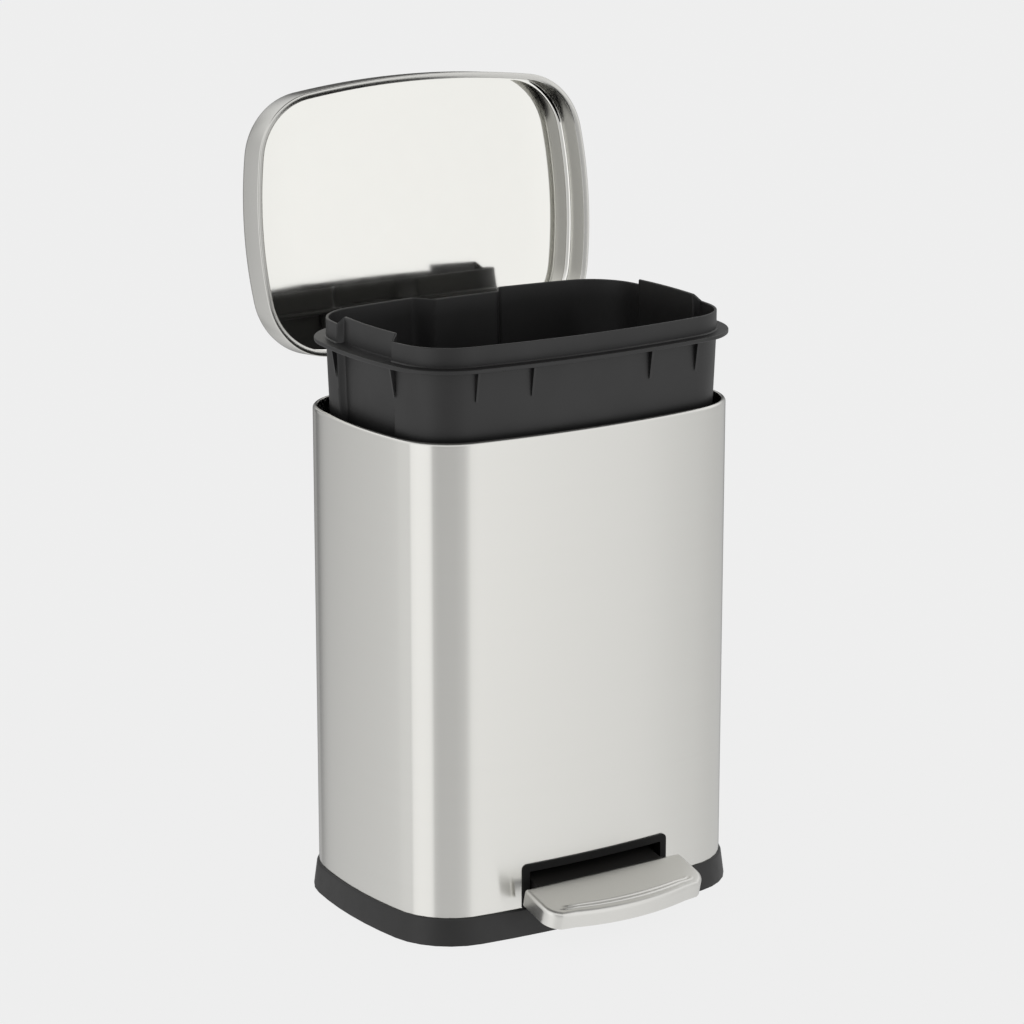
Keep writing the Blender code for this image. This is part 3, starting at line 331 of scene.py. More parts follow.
def steel(name, along, dark, bright, smooth, rough, relief=0.0000012, upright_blur=0.0):
    """Brushed or polished stainless steel; grain that runs round blurs reflections upright."""
    material, tree, shader, place, surface = blank_material(name)
    shader.inputs["Metallic"].default_value = 1.0
    shader.inputs["IOR"].default_value = 2.5
    if upright_blur:
        shader.inputs["Anisotropic"].default_value = upright_blur
        shader.inputs["Anisotropic Rotation"].default_value = 0.25
        round_about = node(tree, "ShaderNodeTangent", direction_type="RADIAL", axis="Z")
        tree.links.new(round_about.outputs[0], shader.inputs["Tangent"])
    lines = effect(tree, BRUSHING, {"Vector": place, "Along": along})
    worn = effect(tree, WEAR, {"Vector": place, "Pointiness": surface["Pointiness"]})["Mask"]
    dusty = effect(tree, DUST, {"Vector": place, "Normal": surface["Normal"],
                                "Amount": 0.02})["Mask"]
    tone = mix_colour(tree, lines["Lines"], (*dark, 1), (*bright, 1))
    rubbed = mix_colour(tree, math_node(tree, "MULTIPLY", worn, 0.4), tone, (0.86, 0.85, 0.83, 1))
    tree.links.new(mix_colour(tree, dusty, rubbed, (0.5, 0.49, 0.47, 1)),
                   shader.inputs["Base Color"])
    sheen = remap(tree, lines["Lines"], 0.3, 0.7, smooth, rough)
    tree.links.new(math_node(tree, "ADD", sheen, dusty), shader.inputs["Roughness"])
    bump(tree, shader, lines["Height"], relief)
    return material


def plastic(name, colour, smoothest, roughest, grain=1900.0, relief=0.000012, dust=0.01,
            ior=1.5):
    """A dark moulded plastic with grained skin, edges a little burnished, and a trace of dust."""
    material, tree, shader, place, surface = blank_material(name)
    shader.inputs["IOR"].default_value = ior
    skin = effect(tree, GRAIN, {"Vector": place, "Scale": grain, "Smoothest": smoothest,
                                "Roughest": roughest})
    worn = effect(tree, WEAR, {"Vector": place, "Pointiness": surface["Pointiness"]})["Mask"]
    dusty = effect(tree, DUST, {"Vector": place, "Normal": surface["Normal"],
                                "Amount": dust})["Mask"]
    deep = tuple(part * 0.86 for part in colour)
    pale = tuple(part * 1.14 for part in colour)
    tone = mix_colour(tree, skin["Tone"], (*deep, 1), (*pale, 1))
    edge = tuple(part * 1.8 for part in colour)
    rubbed = mix_colour(tree, math_node(tree, "MULTIPLY", worn, 0.4), tone, (*edge, 1))
    tree.links.new(mix_colour(tree, dusty, rubbed, (0.30, 0.29, 0.28, 1)),
                   shader.inputs["Base Color"])
    burnished = math_node(tree, "MULTIPLY", worn, -0.10)
    tree.links.new(math_node(tree, "ADD", skin["Roughness"], burnished),
                   shader.inputs["Roughness"])
    bump(tree, shader, skin["Height"], relief)
    return material


ROUND_THE_BODY = (4.0, 4.0, 1500.0)
ALONG_THE_LID = (4.0, 1500.0, 1500.0)
ACROSS_THE_TREAD = (4.0, 1500.0, 1500.0)
EVERY_WAY = (60.0, 60.0, 60.0)

BODY_STEEL = steel("brushed_body_steel", ROUND_THE_BODY, (0.634, 0.628, 0.600),
                   (0.666, 0.660, 0.632), 0.17, 0.19, relief=0.0000005, upright_blur=0.85)
LID_STEEL = steel("brushed_lid_steel", ALONG_THE_LID, (0.565, 0.56, 0.535),
                  (0.605, 0.60, 0.575), 0.20, 0.25)
TREAD_STEEL = steel("brushed_tread_steel", ACROSS_THE_TREAD, (0.640, 0.634, 0.607),
                    (0.670, 0.664, 0.637), 0.29, 0.33, relief=0.0000003)
MIRROR_STEEL = steel("polished_lid_inside", EVERY_WAY, (0.79, 0.785, 0.75),
                     (0.81, 0.805, 0.77), 0.045, 0.06, relief=0.0000001)
ZINC = steel("zinc_plate", EVERY_WAY, (0.48, 0.49, 0.51), (0.62, 0.63, 0.65), 0.28, 0.42)
BASE_PLASTIC = plastic("base_moulding", (0.0055, 0.0052, 0.0050), 0.42, 0.52)
BEZEL_PLASTIC = plastic("bezel_moulding", (0.0025, 0.0024, 0.0023), 0.46, 0.56, dust=0.0, ior=1.24)
BUCKET_PLASTIC = plastic("bucket_moulding", (0.0028, 0.0026, 0.0027), 0.42, 0.52, ior=1.55)
LEVER_PLASTIC = plastic("lever_moulding", (0.020, 0.019, 0.018), 0.38, 0.48, dust=0.0)
PAD_RUBBER = plastic("pad_rubber", (0.020, 0.020, 0.020), 0.75, 0.9, grain=900.0)


# ---------------------------------------------------------------- outlines
def arc(centre, radius, start, end, steps):
    """Points on an arc, both ends included."""
    turns = [start + (end - start) * k / steps for k in range(steps + 1)]
    return [(centre[0] + radius * math.cos(t), centre[1] + radius * math.sin(t)) for t in turns]


def body_plan(grow=0.0, depth=DEPTH, shift=0.0, side_steps=10, corner_steps=18, end_steps=14):
    """The bowed rectangle, counter-clockwise, grown by a distance."""
    end_centre = Vector((0, depth / 2 - FRONT_BOW_R))
    side_centre = Vector((WIDTH / 2 - SIDE_BOW_R, 0))
    meets = intersect_sphere_sphere_2d(
        end_centre, FRONT_BOW_R - CORNER_R, side_centre, SIDE_BOW_R - CORNER_R)
    corner = max(meets, key=sum)
    side_turn = math.atan2(*(corner - side_centre).yx)
    end_turn = math.atan2(*(corner - end_centre).yx)
    quarter = arc(side_centre, SIDE_BOW_R + grow, 0, side_turn, side_steps)[:-1]
    quarter += arc(corner, CORNER_R + grow, side_turn, end_turn, corner_steps)
    quarter += arc(end_centre, FRONT_BOW_R + grow, end_turn, math.pi / 2, end_steps)[1:]
    upper = quarter + [(-x, y) for x, y in reversed(quarter[:-1])]
    lower = [(x, -y) for x, y in reversed(upper[1:-1])]
    return [(x, y + shift) for x, y in upper + lower]


def ramp(distance, half, width):
    """1 inside a half width, falling smoothly to 0 over a ramp beyond it."""
    share = min(max((half + width - abs(distance)) / width, 0), 1)
    return share * share * (3 - 2 * share)


# ---------------------------------------------------------------- meshes
def finish(item, material, sharp=35):
    """Smooth shading with sharp edges kept, and one material."""
    item.data.shade_smooth()
    item.data.set_sharp_from_angle(angle=math.radians(sharp))
    if material is not None:
        item.data.materials.clear()
        item.data.materials.append(material)
    return item


def new_object(name, mesh):
    """Link a mesh to the scene."""
    item = bpy.data.objects.new(name, mesh)
    bpy.context.scene.collection.objects.link(item)
    return item


def from_bmesh(name, bm):
    """Turn a bmesh into an object, with its faces pointing outwards."""
    bmesh.ops.recalc_face_normals(bm, faces=bm.faces)
    mesh = bpy.data.meshes.new(name)
    bm.to_mesh(mesh)
    bm.free()
    return new_object(name, mesh)


def loft(name, rings, material, caps=True, sharp=35):
    """A skin through rings of equal point counts, closed at both ends or left open."""
    bm = bmesh.new()
    loops = [[bm.verts.new(point) for point in ring] for ring in rings]
    for low, high in zip(loops, loops[1:]):
        for k in range(len(low)):
            after = (k + 1) % len(low)
            bm.faces.new((low[k], low[after], high[after], high[k]))
    if caps:
        bm.faces.new(loops[0])
        bm.faces.new(loops[-1])
    return finish(from_bmesh(name, bm), material, sharp)


def close_level(bm, loop, material_index, shares=(0.8, 0.6, 0.4, 0.2, 0.06)):
    """Close a level opening with rings that shrink towards its middle."""
    middle = sum((vert.co for vert in loop), Vector()) / len(loop)
    outer = loop
    for share in shares:
        inner = [bm.verts.new(middle + (vert.co - middle) * share) for vert in loop]
        for k in range(len(loop)):
            after = (k + 1) % len(loop)
            face = bm.faces.new((outer[k], outer[after], inner[after], inner[k]))
            face.material_index = material_index
        outer = inner
    bm.faces.new(outer).material_index = material_index


def cut_with(item, low, high):
    """Take a box out of a piece for good."""
    bm = bmesh.new()
    bmesh.ops.create_cube(bm, size=1.0)
    bmesh.ops.scale(bm, vec=Vector(high) - Vector(low), verts=bm.verts)
    bmesh.ops.translate(bm, vec=(Vector(low) + Vector(high)) / 2, verts=bm.verts)
    cutter = from_bmesh("cutter", bm)
    step = item.modifiers.new("cut", "BOOLEAN")
    step.operation = "DIFFERENCE"
    step.object = cutter
    apply_modifiers(item)
    bpy.data.objects.remove(cutter)


def apply_modifiers(item):
    """Replace a piece's mesh by what its modifiers make, and drop them."""
    seen = item.evaluated_get(bpy.context.evaluated_depsgraph_get())
    mesh = bpy.data.meshes.new_from_object(seen)
    item.modifiers.clear()
    item.data = mesh


def carry_open(item, body):
    """Move a piece drawn in the shut bin to where it is when the bin is open."""
    about = {"lid": (PIVOT, -LID_OPEN), "pedal": (AXLE, PEDAL_TURN)}
    if body in about:
        place, angle = about[body]
        turn = Matrix.Translation(place) @ Matrix.Rotation(angle, 4, "X")
        item.data.transform(turn @ Matrix.Translation(-place))
    elif body == "bucket":
        item.data.transform(Matrix.Translation((0, 0, BUCKET_LIFT)))


def enter(item, body, slot, *replaced):
    """Hand a piece to the frame: its body and the CAD nodes that it stands for. The finish given as
    slot is not used.
    """
    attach(item, body)
    if replaced:
        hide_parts(*replaced)


# ---------------------------------------------------------------- Geometry Nodes
def run_tree(item, group, values):
    """Run a Geometry Nodes tree on an object with named values, and keep the result as a mesh."""
    sockets = {socket.name: socket.identifier for socket in group.interface.items_tree
               if socket.in_out == "INPUT"}
    step = item.modifiers.new("tree", "NODES")
    step.node_group = group
    for label, value in values.items():
        step[sockets[label]] = value
    apply_modifiers(item)
    return item


def edge_loop(name, points, closed=True):
    """A mesh of edges through points."""
    mesh = bpy.data.meshes.new(name)
    last = len(points) if closed else len(points) - 1
    mesh.from_pydata(points, [(k, (k + 1) % len(points)) for k in range(last)], [])
    return new_object(name, mesh)


def end_tree(group, geometry, material, result, smooth=True):
    """Realize the instances and set the material, as every tree here ends."""
    whole = node(group, "GeometryNodeRealizeInstances", {0: geometry}).outputs[0]
    shaded = node(group, "GeometryNodeSetShadeSmooth",
                  {"Geometry": whole, "Shade Smooth": smooth}).outputs[0]
    painted = node(group, "GeometryNodeSetMaterial", {"Geometry": shaded, "Material": material})
    group.links.new(painted.outputs[0], result["Geometry"])


def folded_sheet_tree():
    """Carries a section, drawn as (outwards, down), round a level plan."""
    group, given, result = new_group(
        "folded_sheet", "GeometryNodeTree",
        [("Geometry", "NodeSocketGeometry", None), ("Section", "NodeSocketObject", None),
         ("Material", "NodeSocketMaterial", None)], [("Geometry", "NodeSocketGeometry")])
    plan = node(group, "GeometryNodeMeshToCurve", {0: given["Geometry"]}).outputs[0]
    upright = node(group, "GeometryNodeSetCurveNormal", {0: plan}, mode="Z_UP").outputs[0]
    drawn = node(group, "GeometryNodeObjectInfo", {"Object": given["Section"]})
    section = node(group, "GeometryNodeMeshToCurve", {0: drawn.outputs["Geometry"]}).outputs[0]
    sheet = node(group, "GeometryNodeCurveToMesh", {0: upright, 1: section}).outputs[0]
    end_tree(group, sheet, given["Material"], result)
    return group


def set_out(group, given, instance, result):
    """Put an instance at every point, turned by the point's own angles, and end the tree."""
    turned = node(group, "GeometryNodeInputNamedAttribute", {"Name": "turned"},
                  data_type="FLOAT_VECTOR").outputs["Attribute"]
    rotation = node(group, "FunctionNodeEulerToRotation", {0: turned}).outputs[0]
    placed = node(group, "GeometryNodeInstanceOnPoints",
                  {"Points": given["Geometry"], "Instance": instance, "Rotation": rotation})
    end_tree(group, placed.outputs[0], given["Material"], result, smooth=False)


def vector(group, x=0.0, y=0.0, z=0.0):
    """A vector from three values."""
    return node(group, "ShaderNodeCombineXYZ", {"X": x, "Y": y, "Z": z}).outputs[0]


def fin_tree():
    """Thin triangular fins: each is deepest at the top and runs out to nothing at its foot."""
    group, given, result = new_group(
        "stiffening_fins", "GeometryNodeTree",
        [("Geometry", "NodeSocketGeometry", None), ("Reach", "NodeSocketFloat", 0.004),
         ("Drop", "NodeSocketFloat", 0.020), ("Thickness", "NodeSocketFloat", 0.002),
         ("Sunk", "NodeSocketFloat", 0.001), ("Material", "NodeSocketMaterial", None)],
        [("Geometry", "NodeSocketGeometry")])
    deep = math_node(group, "ADD", given["Reach"], given["Sunk"])
    block = node(group, "GeometryNodeMeshCube",
                 {"Size": vector(group, deep, given["Thickness"], given["Drop"]),
                  "Vertices Z": 6}).outputs[0]
    forward = math_node(group, "MULTIPLY", 0.5,
                        math_node(group, "SUBTRACT", given["Reach"], given["Sunk"]))
    down = math_node(group, "MULTIPLY", given["Drop"], -0.5)
    hung = node(group, "GeometryNodeTransform",
                {"Geometry": block, "Translation": vector(group, forward, 0.0, down)}).outputs[0]
    place = node(group, "ShaderNodeSeparateXYZ",
                 {0: node(group, "GeometryNodeInputPosition").outputs[0]}).outputs
    share = math_node(group, "ADD", 1.0, math_node(group, "DIVIDE", place["Z"], given["Drop"]))
    drawn_in = vector(group, math_node(group, "MULTIPLY", place["X"], share), place["Y"],
                      place["Z"])
    fin = node(group, "GeometryNodeSetPosition", {0: hung, "Position": drawn_in}).outputs[0]
    set_out(group, given, fin, result)
    return group


def screw_tree():
    """Pan-head screws with a cross recess."""
    group, given, result = new_group(
        "pan_head_screws", "GeometryNodeTree",
        [("Geometry", "NodeSocketGeometry", None), ("Head radius", "NodeSocketFloat", 0.003),
         ("Head height", "NodeSocketFloat", 0.0014), ("Recess", "NodeSocketFloat", 0.0007),
         ("Material", "NodeSocketMaterial", None)], [("Geometry", "NodeSocketGeometry")])
    crown = math_node(group, "MULTIPLY", given["Head radius"], 0.72)
    head = node(group, "GeometryNodeMeshCone",
                {"Vertices": 24, "Radius Top": crown, "Radius Bottom": given["Head radius"],
                 "Depth": given["Head height"]}).outputs[0]
    long = math_node(group, "MULTIPLY", given["Head radius"], 1.1)
    high = math_node(group, "MULTIPLY", given["Head height"], 1.2)
    slots = [node(group, "GeometryNodeMeshCube", {"Size": size}).outputs[0]
             for size in (vector(group, long, given["Recess"], high),
                          vector(group, given["Recess"], long, high))]
    raised = [node(group, "GeometryNodeTransform",
                   {"Geometry": slot, "Translation": vector(group, z=given["Head height"])})
              for slot in slots]
    cut = node(group, "GeometryNodeMeshBoolean", {"Mesh 1": head}, operation="DIFFERENCE")
    for slot in raised:
        group.links.new(slot.outputs[0], cut.inputs["Mesh 2"])
    set_out(group, given, cut.outputs["Mesh"], result)
    return group


def nut_tree():
    """Hexagon nuts with the end of their stud."""
    group, given, result = new_group(
        "hexagon_nuts", "GeometryNodeTree",
        [("Geometry", "NodeSocketGeometry", None), ("Across corners", "NodeSocketFloat", 0.008),
         ("Height", "NodeSocketFloat", 0.0026), ("Stud radius", "NodeSocketFloat", 0.0015),
         ("Material", "NodeSocketMaterial", None)], [("Geometry", "NodeSocketGeometry")])
    radius = math_node(group, "MULTIPLY", given["Across corners"], 0.5)
    blank = node(group, "GeometryNodeMeshCylinder",
                 {"Vertices": 6, "Radius": radius, "Depth": given["Height"]}).outputs[0]
    turned = node(group, "GeometryNodeMeshCone",
                  {"Vertices": 24, "Radius Top": math_node(group, "MULTIPLY", radius, 0.9),
                   "Radius Bottom": math_node(group, "MULTIPLY", radius, 1.25),
                   "Depth": given["Height"]}).outputs[0]
    centred = node(group, "GeometryNodeTransform",
                   {"Geometry": turned, "Translation": vector(
                       group, z=math_node(group, "MULTIPLY", given["Height"], -0.5))}).outputs[0]
    chamfered = node(group, "GeometryNodeMeshBoolean", {"Mesh 2": centred},
                     operation="INTERSECT")
    group.links.new(blank, chamfered.inputs["Mesh 2"])
    stud_end = node(group, "GeometryNodeMeshCylinder",
                    {"Vertices": 16, "Radius": given["Stud radius"],
                     "Depth": math_node(group, "MULTIPLY", given["Height"], 1.5)}).outputs[0]
    both = node(group, "GeometryNodeJoinGeometry", {0: stud_end})
    group.links.new(chamfered.outputs["Mesh"], both.inputs[0])
    set_out(group, given, both.outputs[0], result)
    return group


FOLDED_SHEET = folded_sheet_tree()
FINS = fin_tree()
SCREWS = screw_tree()
NUTS = nut_tree()


def marked_points(name, places):
    """Points that carry their own turn: (place, Euler angles) pairs."""
    mesh = bpy.data.meshes.new(name)
    mesh.from_pydata([place for place, _ in places], [], [])
    mark = mesh.attributes.new("turned", "FLOAT_VECTOR", "POINT")
    for k, (_, turn) in enumerate(places):
        mark.data[k].vector = turn
    return new_object(name, mesh)


def centre(cad_node):
    """The middle of a CAD node's box."""
    low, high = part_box(cad_node)
    return (low + high) / 2


# ---------------------------------------------------------------- body
def folded_sheet(name, section, material):
    """Sheet of one section, (outwards, height) pairs, carried round the body's plan."""
    plan = edge_loop(name, [(x, y, 0) for x, y in body_plan()])
    drawn = edge_loop(name + "_section", [(out, -height, 0) for out, height in section])
    run_tree(plan, FOLDED_SHEET, {"Section": drawn, "Material": material})
    bpy.data.objects.remove(drawn)
    bm = bmesh.new()
    bm.from_mesh(plan.data)
    bmesh.ops.remove_doubles(bm, verts=bm.verts, dist=0.000002)
    bmesh.ops.recalc_face_normals(bm, faces=bm.faces)
    bm.to_mesh(plan.data)
    bm.free()
    return finish(plan, material)


def make_body():
    """The steel body: one sheet with a rolled rim, open for the pedal and the crank."""
    foot = BODY_FOOT
    slot_foot, slot_top = foot + SLOT_FOOT_UP, BEZEL_HIGH.z - SLOT_LAP
    fold_low = BODY_TOP - RIM_FOLD
    # Rows close to each cut keep the wear of its edge from spreading up the wall.
    levels = [foot, foot + ROW_NEAR, foot + ROW_FAR, slot_foot - ROW_FAR, slot_foot - ROW_NEAR,
              slot_top + ROW_NEAR, slot_top + ROW_FAR, NOTCH_FOOT - ROW_FAR,
              NOTCH_FOOT - ROW_NEAR, BODY_TOP - RIM_R - ROW_RIM, BODY_TOP - RIM_R - ROW_NEAR]
    section = [(0, level) for level in levels]
    section += arc((-RIM_R, BODY_TOP - RIM_R), RIM_R, 0, math.pi / 2, 9)
    section += arc((-RIM_IN + RIM_EDGE_R, BODY_TOP - RIM_EDGE_R), RIM_EDGE_R, math.pi / 2,
                   math.pi, 3)
    section += [(-RIM_IN, fold_low), (-RIM_IN + SHEET, fold_low),
                (-SHEET, BODY_TOP - RIM_R - SHEET)]
    section += [(-SHEET, level) for level in reversed(levels[:-2])]
    body = folded_sheet("steel_body", section, BODY_STEEL)
    cut_with(body, (BEZEL_LOW.x + SLOT_LAP, FRONT - SLOT_REACH_OUT, slot_foot),
             (BEZEL_HIGH.x - SLOT_LAP, FRONT + SLOT_REACH_IN, slot_top))
    cut_with(body, (-CRANK_HALF, REAR - CRANK_REACH_IN, NOTCH_FOOT),
             (CRANK_HALF, REAR + CRANK_REACH_OUT, BODY_TOP + CRANK_REACH_OUT))
    finish(body, None)
    enter(body, "frame", "brushed_steel", "outer_shell")


def refined(name, cad_node, material, body, slot, bevel=0.0004):
    """A merged copy of a CAD piece with its edges rounded and its curves smooth."""
    bm = bmesh.new()
    bm.from_mesh(frame["nodes"][cad_node].data)
    bmesh.ops.remove_doubles(bm, verts=bm.verts, dist=0.00001)
    bmesh.ops.dissolve_limit(bm, angle_limit=math.radians(0.4), verts=bm.verts, edges=bm.edges)
    mesh = bpy.data.meshes.new(name)
    bm.to_mesh(mesh)
    bm.free()
    piece = new_object(name, mesh)
    if bevel:
        rounding = piece.modifiers.new("edges", "BEVEL")
        rounding.width = bevel
        rounding.segments = 2
        rounding.angle_limit = math.radians(40)
        rounding.harden_normals = False
        apply_modifiers(piece)
    finish(piece, material, 30)
    enter(piece, body, slot, cad_node)
    return piece


# ---------------------------------------------------------------- lid
def make_lid():
    """The stamped lid: brushed outside, polished inside, with a turned-in hem."""
    shoulder = LID_TOP - LID_EDGE_R
    flat = LID_OUT - LID_EDGE_R
    inner_wall = LID_OUT - SHEET
    inner_top = LID_TOP - SHEET
    steps = 7
    crown = [(flat - LID_CROWN_RUN * (1 - k / steps), LID_CROWN * (1 - (k / steps) ** 2))
             for k in range(steps)]
    outside = [(out, LID_TOP + rise) for out, rise in crown]
    outside += arc((flat, shoulder), LID_EDGE_R, math.pi / 2, 0, 10)
    hem = LID_RIM + LID_HEM_R
    outside += arc((LID_OUT - LID_HEM_R, hem), LID_HEM_R, 0,
                   -math.pi / 2 - HEM_TURN, 7)
    lip = LID_OUT - LID_HEM
    outside += [(lip + out, LID_RIM + up) for out, up in HEM_LIP]
    brushed_to = len(outside) + BRUSHED_ROWS_INSIDE
    inside = [(lip + HEM_BACK[0], LID_RIM + HEM_BACK[1])]
    inside += [(inner_wall + out, LID_RIM + up) for out, up in HEM_ROOT]
    inside += arc((inner_wall - LID_INNER_R, inner_top - LID_INNER_R), LID_INNER_R, 0,
                  math.pi / 2, 14)
    inside += [(out, inner_top + rise) for out, rise in reversed(crown[:-1])]
    profile = outside + inside
    rings = [[(x, y, height) for x, y in body_plan(out)] for out, height in profile]
    bm = bmesh.new()
    loops = [[bm.verts.new(point) for point in ring] for ring in rings]
    for row, (low, high) in enumerate(zip(loops, loops[1:])):
        for k in range(len(low)):
            after = (k + 1) % len(low)
            face = bm.faces.new((low[k], low[after], high[after], high[k]))
            face.material_index = 0 if row < brushed_to else 1
    close_level(bm, loops[0], 0)
    close_level(bm, loops[-1], 1)
    lid = from_bmesh("lid_skin", bm)
    lid.data.materials.append(LID_STEEL)
    lid.data.materials.append(MIRROR_STEEL)
    cut_with(lid, (-NOTCH_HALF, REAR - NOTCH_REACH, LID_RIM - NOTCH_BELOW),
             (NOTCH_HALF, REAR + NOTCH_REACH, LID_TOP - LID_EDGE_R - NOTCH_UNDER_EDGE))
    carry_open(lid, "lid")
    finish(lid, None)
    enter(lid, "lid", "brushed_steel", "lid_shell")


# ---------------------------------------------------------------- bucket
def bucket_ring(grow, height, scallop=1.0, dent=1.0, tab=0.0):
    """One ring of the bucket's wall, with its rear scallop, side recesses and finger tabs."""
    shift = -BUCKET_REAR_GAP / 2
    ring = []
    for x, y in body_plan(grow, DEPTH - BUCKET_REAR_GAP, shift, 42, 14, 60):
        lift = 0.0
        if y > 0:
            y -= scallop * SCALLOP_IN * ramp(x, SCALLOP_HALF, SCALLOP_RAMP)
        if abs(x) > WIDTH * 0.4:
            share = ramp(y - shift, TAB_HALF, TAB_RAMP)
            x -= math.copysign(dent * TAB_IN * share, x)
            lift = tab * TAB_UP * share
        ring.append((x, y, height + lift))
    return ring


def make_bucket():
    """The lift-out bucket, with every edge a little round."""
    floor = FLOOR_HEIGHT - BUCKET_LIFT
    top = FLANGE_Z + FLANGE_T
    rim = top + BUCKET_RIM_H
    wall = FLANGE_OUT - FLANGE_W
    lean = math.tan(BUCKET_DRAFT)
    foot = wall - lean * (FLANGE_Z - floor)
    soft = FLANGE_ROUND
    rings = []
    for out, up in arc((0, 0), BUCKET_FOOT_R, -math.pi / 2, 0, 6):
        rings.append(bucket_ring(foot - BUCKET_FOOT_R + out, floor + BUCKET_FOOT_R + up))
    rings.append(bucket_ring(wall - lean * WALL_ROW, FLANGE_Z - WALL_ROW))
    rings.append(bucket_ring(wall - 0.0001, FLANGE_Z - 0.001))
    rings.append(bucket_ring(wall + FLANGE_FILLET, FLANGE_Z, dent=0.9))
    for out, up in arc((-soft, soft), soft, -math.pi / 2, 0, 4):
        rings.append(bucket_ring(FLANGE_OUT + out, FLANGE_Z + up, dent=0.0))
    for out, up in arc((-soft, -soft), soft, 0, math.pi / 2, 4):
        rings.append(bucket_ring(FLANGE_OUT + out, top + up, dent=0.0))
    rings.append(bucket_ring(wall + FLANGE_FILLET, top, dent=0.9))
    rings.append(bucket_ring(wall, top + FLANGE_FILLET))
    rings.append(bucket_ring(wall, rim - TAB_ROOT, tab=0.6))
    for out, up in arc((-soft, -soft), soft, 0, math.pi / 2, 4):
        rings.append(bucket_ring(wall + out, rim + up, tab=1.0))
    inner = wall - BUCKET_WALL
    for out, up in arc((soft, -soft), soft, math.pi / 2, math.pi, 4):
        rings.append(bucket_ring(inner + out, rim + up, tab=1.0))
    rings.append(bucket_ring(inner, top))
    rings.append(bucket_ring(inner - lean * WALL_ROW_INSIDE, top - WALL_ROW_INSIDE))
    for out, up in arc((0, 0), BUCKET_FOOT_R - BUCKET_WALL / 2, 0, -math.pi / 2, 5):
        rings.append(bucket_ring(foot - BUCKET_FOOT_R + out - BUCKET_WALL / 2,
                                 floor + BUCKET_FOOT_R + up + BUCKET_WALL / 2))
    bucket = loft("bucket_shell", rings, BUCKET_PLASTIC)
    carry_open(bucket, "bucket")
    enter(bucket, "bucket", "bucket_plastic", "inner_bucket")


def make_fins():
    """The fins under the bucket's flange: four in front, four behind, two at each side."""
    wall = FLANGE_OUT - FLANGE_W
    places = []
    for x in FIN_X:
        drop = FRONT_BOW_R - math.sqrt(FRONT_BOW_R ** 2 - x ** 2)
        for side in (-1, 1):
            places.append(((side * x, FRONT - wall + drop, FLANGE_Z), (0, 0, -math.pi / 2)))
            places.append(((side * x, REAR - BUCKET_REAR_GAP + wall - drop, FLANGE_Z),
                           (0, 0, math.pi / 2)))
    beside = TAB_HALF + TAB_RAMP + FIN_BESIDE
    drop = SIDE_BOW_R - math.sqrt(SIDE_BOW_R ** 2 - beside ** 2)
    for end in (-1, 1):
        for side, turn in ((-1, math.pi), (1, 0)):
            places.append(((side * (WIDTH / 2 + wall - drop),
                            end * beside - BUCKET_REAR_GAP / 2, FLANGE_Z), (0, 0, turn)))
    fins = run_tree(marked_points("bucket_fins", places), FINS,
                    {"Reach": FIN_OUT, "Drop": FIN_H, "Thickness": FIN_T, "Sunk": 0.0012,
                     "Material": BUCKET_PLASTIC})
    carry_open(fins, "bucket")
    finish(fins, BUCKET_PLASTIC)
    enter(fins, "bucket", "bucket_plastic")


# ---------------------------------------------------------------- pedal
def tread_plan(grow=0.0):
    """The foot plate's outline: straight behind, bowed in front, with round corners."""
    back = FRONT - TREAD_BACK + grow
    side_front = FRONT - TREAD_BACK - TREAD_LEN + TREAD_BOW
    flat = TREAD_HALF - TREAD_CORNER
    bow_r = (flat ** 2 + TREAD_BOW ** 2) / (2 * TREAD_BOW)
    bow_centre = (0, FRONT - TREAD_BACK - TREAD_LEN + bow_r)
    lean = math.asin(flat / bow_r) * TREAD_SWEEP
    front = arc(bow_centre, bow_r + grow, -math.pi / 2 - lean, -math.pi / 2 + lean, 40)
    right = arc((flat, side_front + TREAD_CORNER * TREAD_SWEEP), TREAD_CORNER + grow,
                -math.pi * TREAD_CORNER_TURN, 0, 14)
    left = [(-x, y) for x, y in reversed(right)]
    rear = arc((TREAD_HALF - TREAD_REAR_R, back - grow - TREAD_REAR_R),
               max(TREAD_REAR_R + grow, 0.0002), 0, math.pi / 2, 6)
    rear_left = [(-x, y) for x, y in reversed(rear)]
    return left + front + right + rear + rear_left


def ridge_height(inset, x):
    """Height of the twin ridges at a distance in from the edge, fading towards both ends."""
    reach = TREAD_HALF - TREAD_CORNER * RIDGE_STOP
    fade = ramp(x, reach - RIDGE_FADE, RIDGE_FADE)
    rise = sum(max(0.0, math.cos(min(abs(inset - ridge) / TREAD_RIDGE_W, 1) * math.pi / 2))
               for ridge in TREAD_RIDGES)
    return TREAD_RIDGE_H * rise * fade


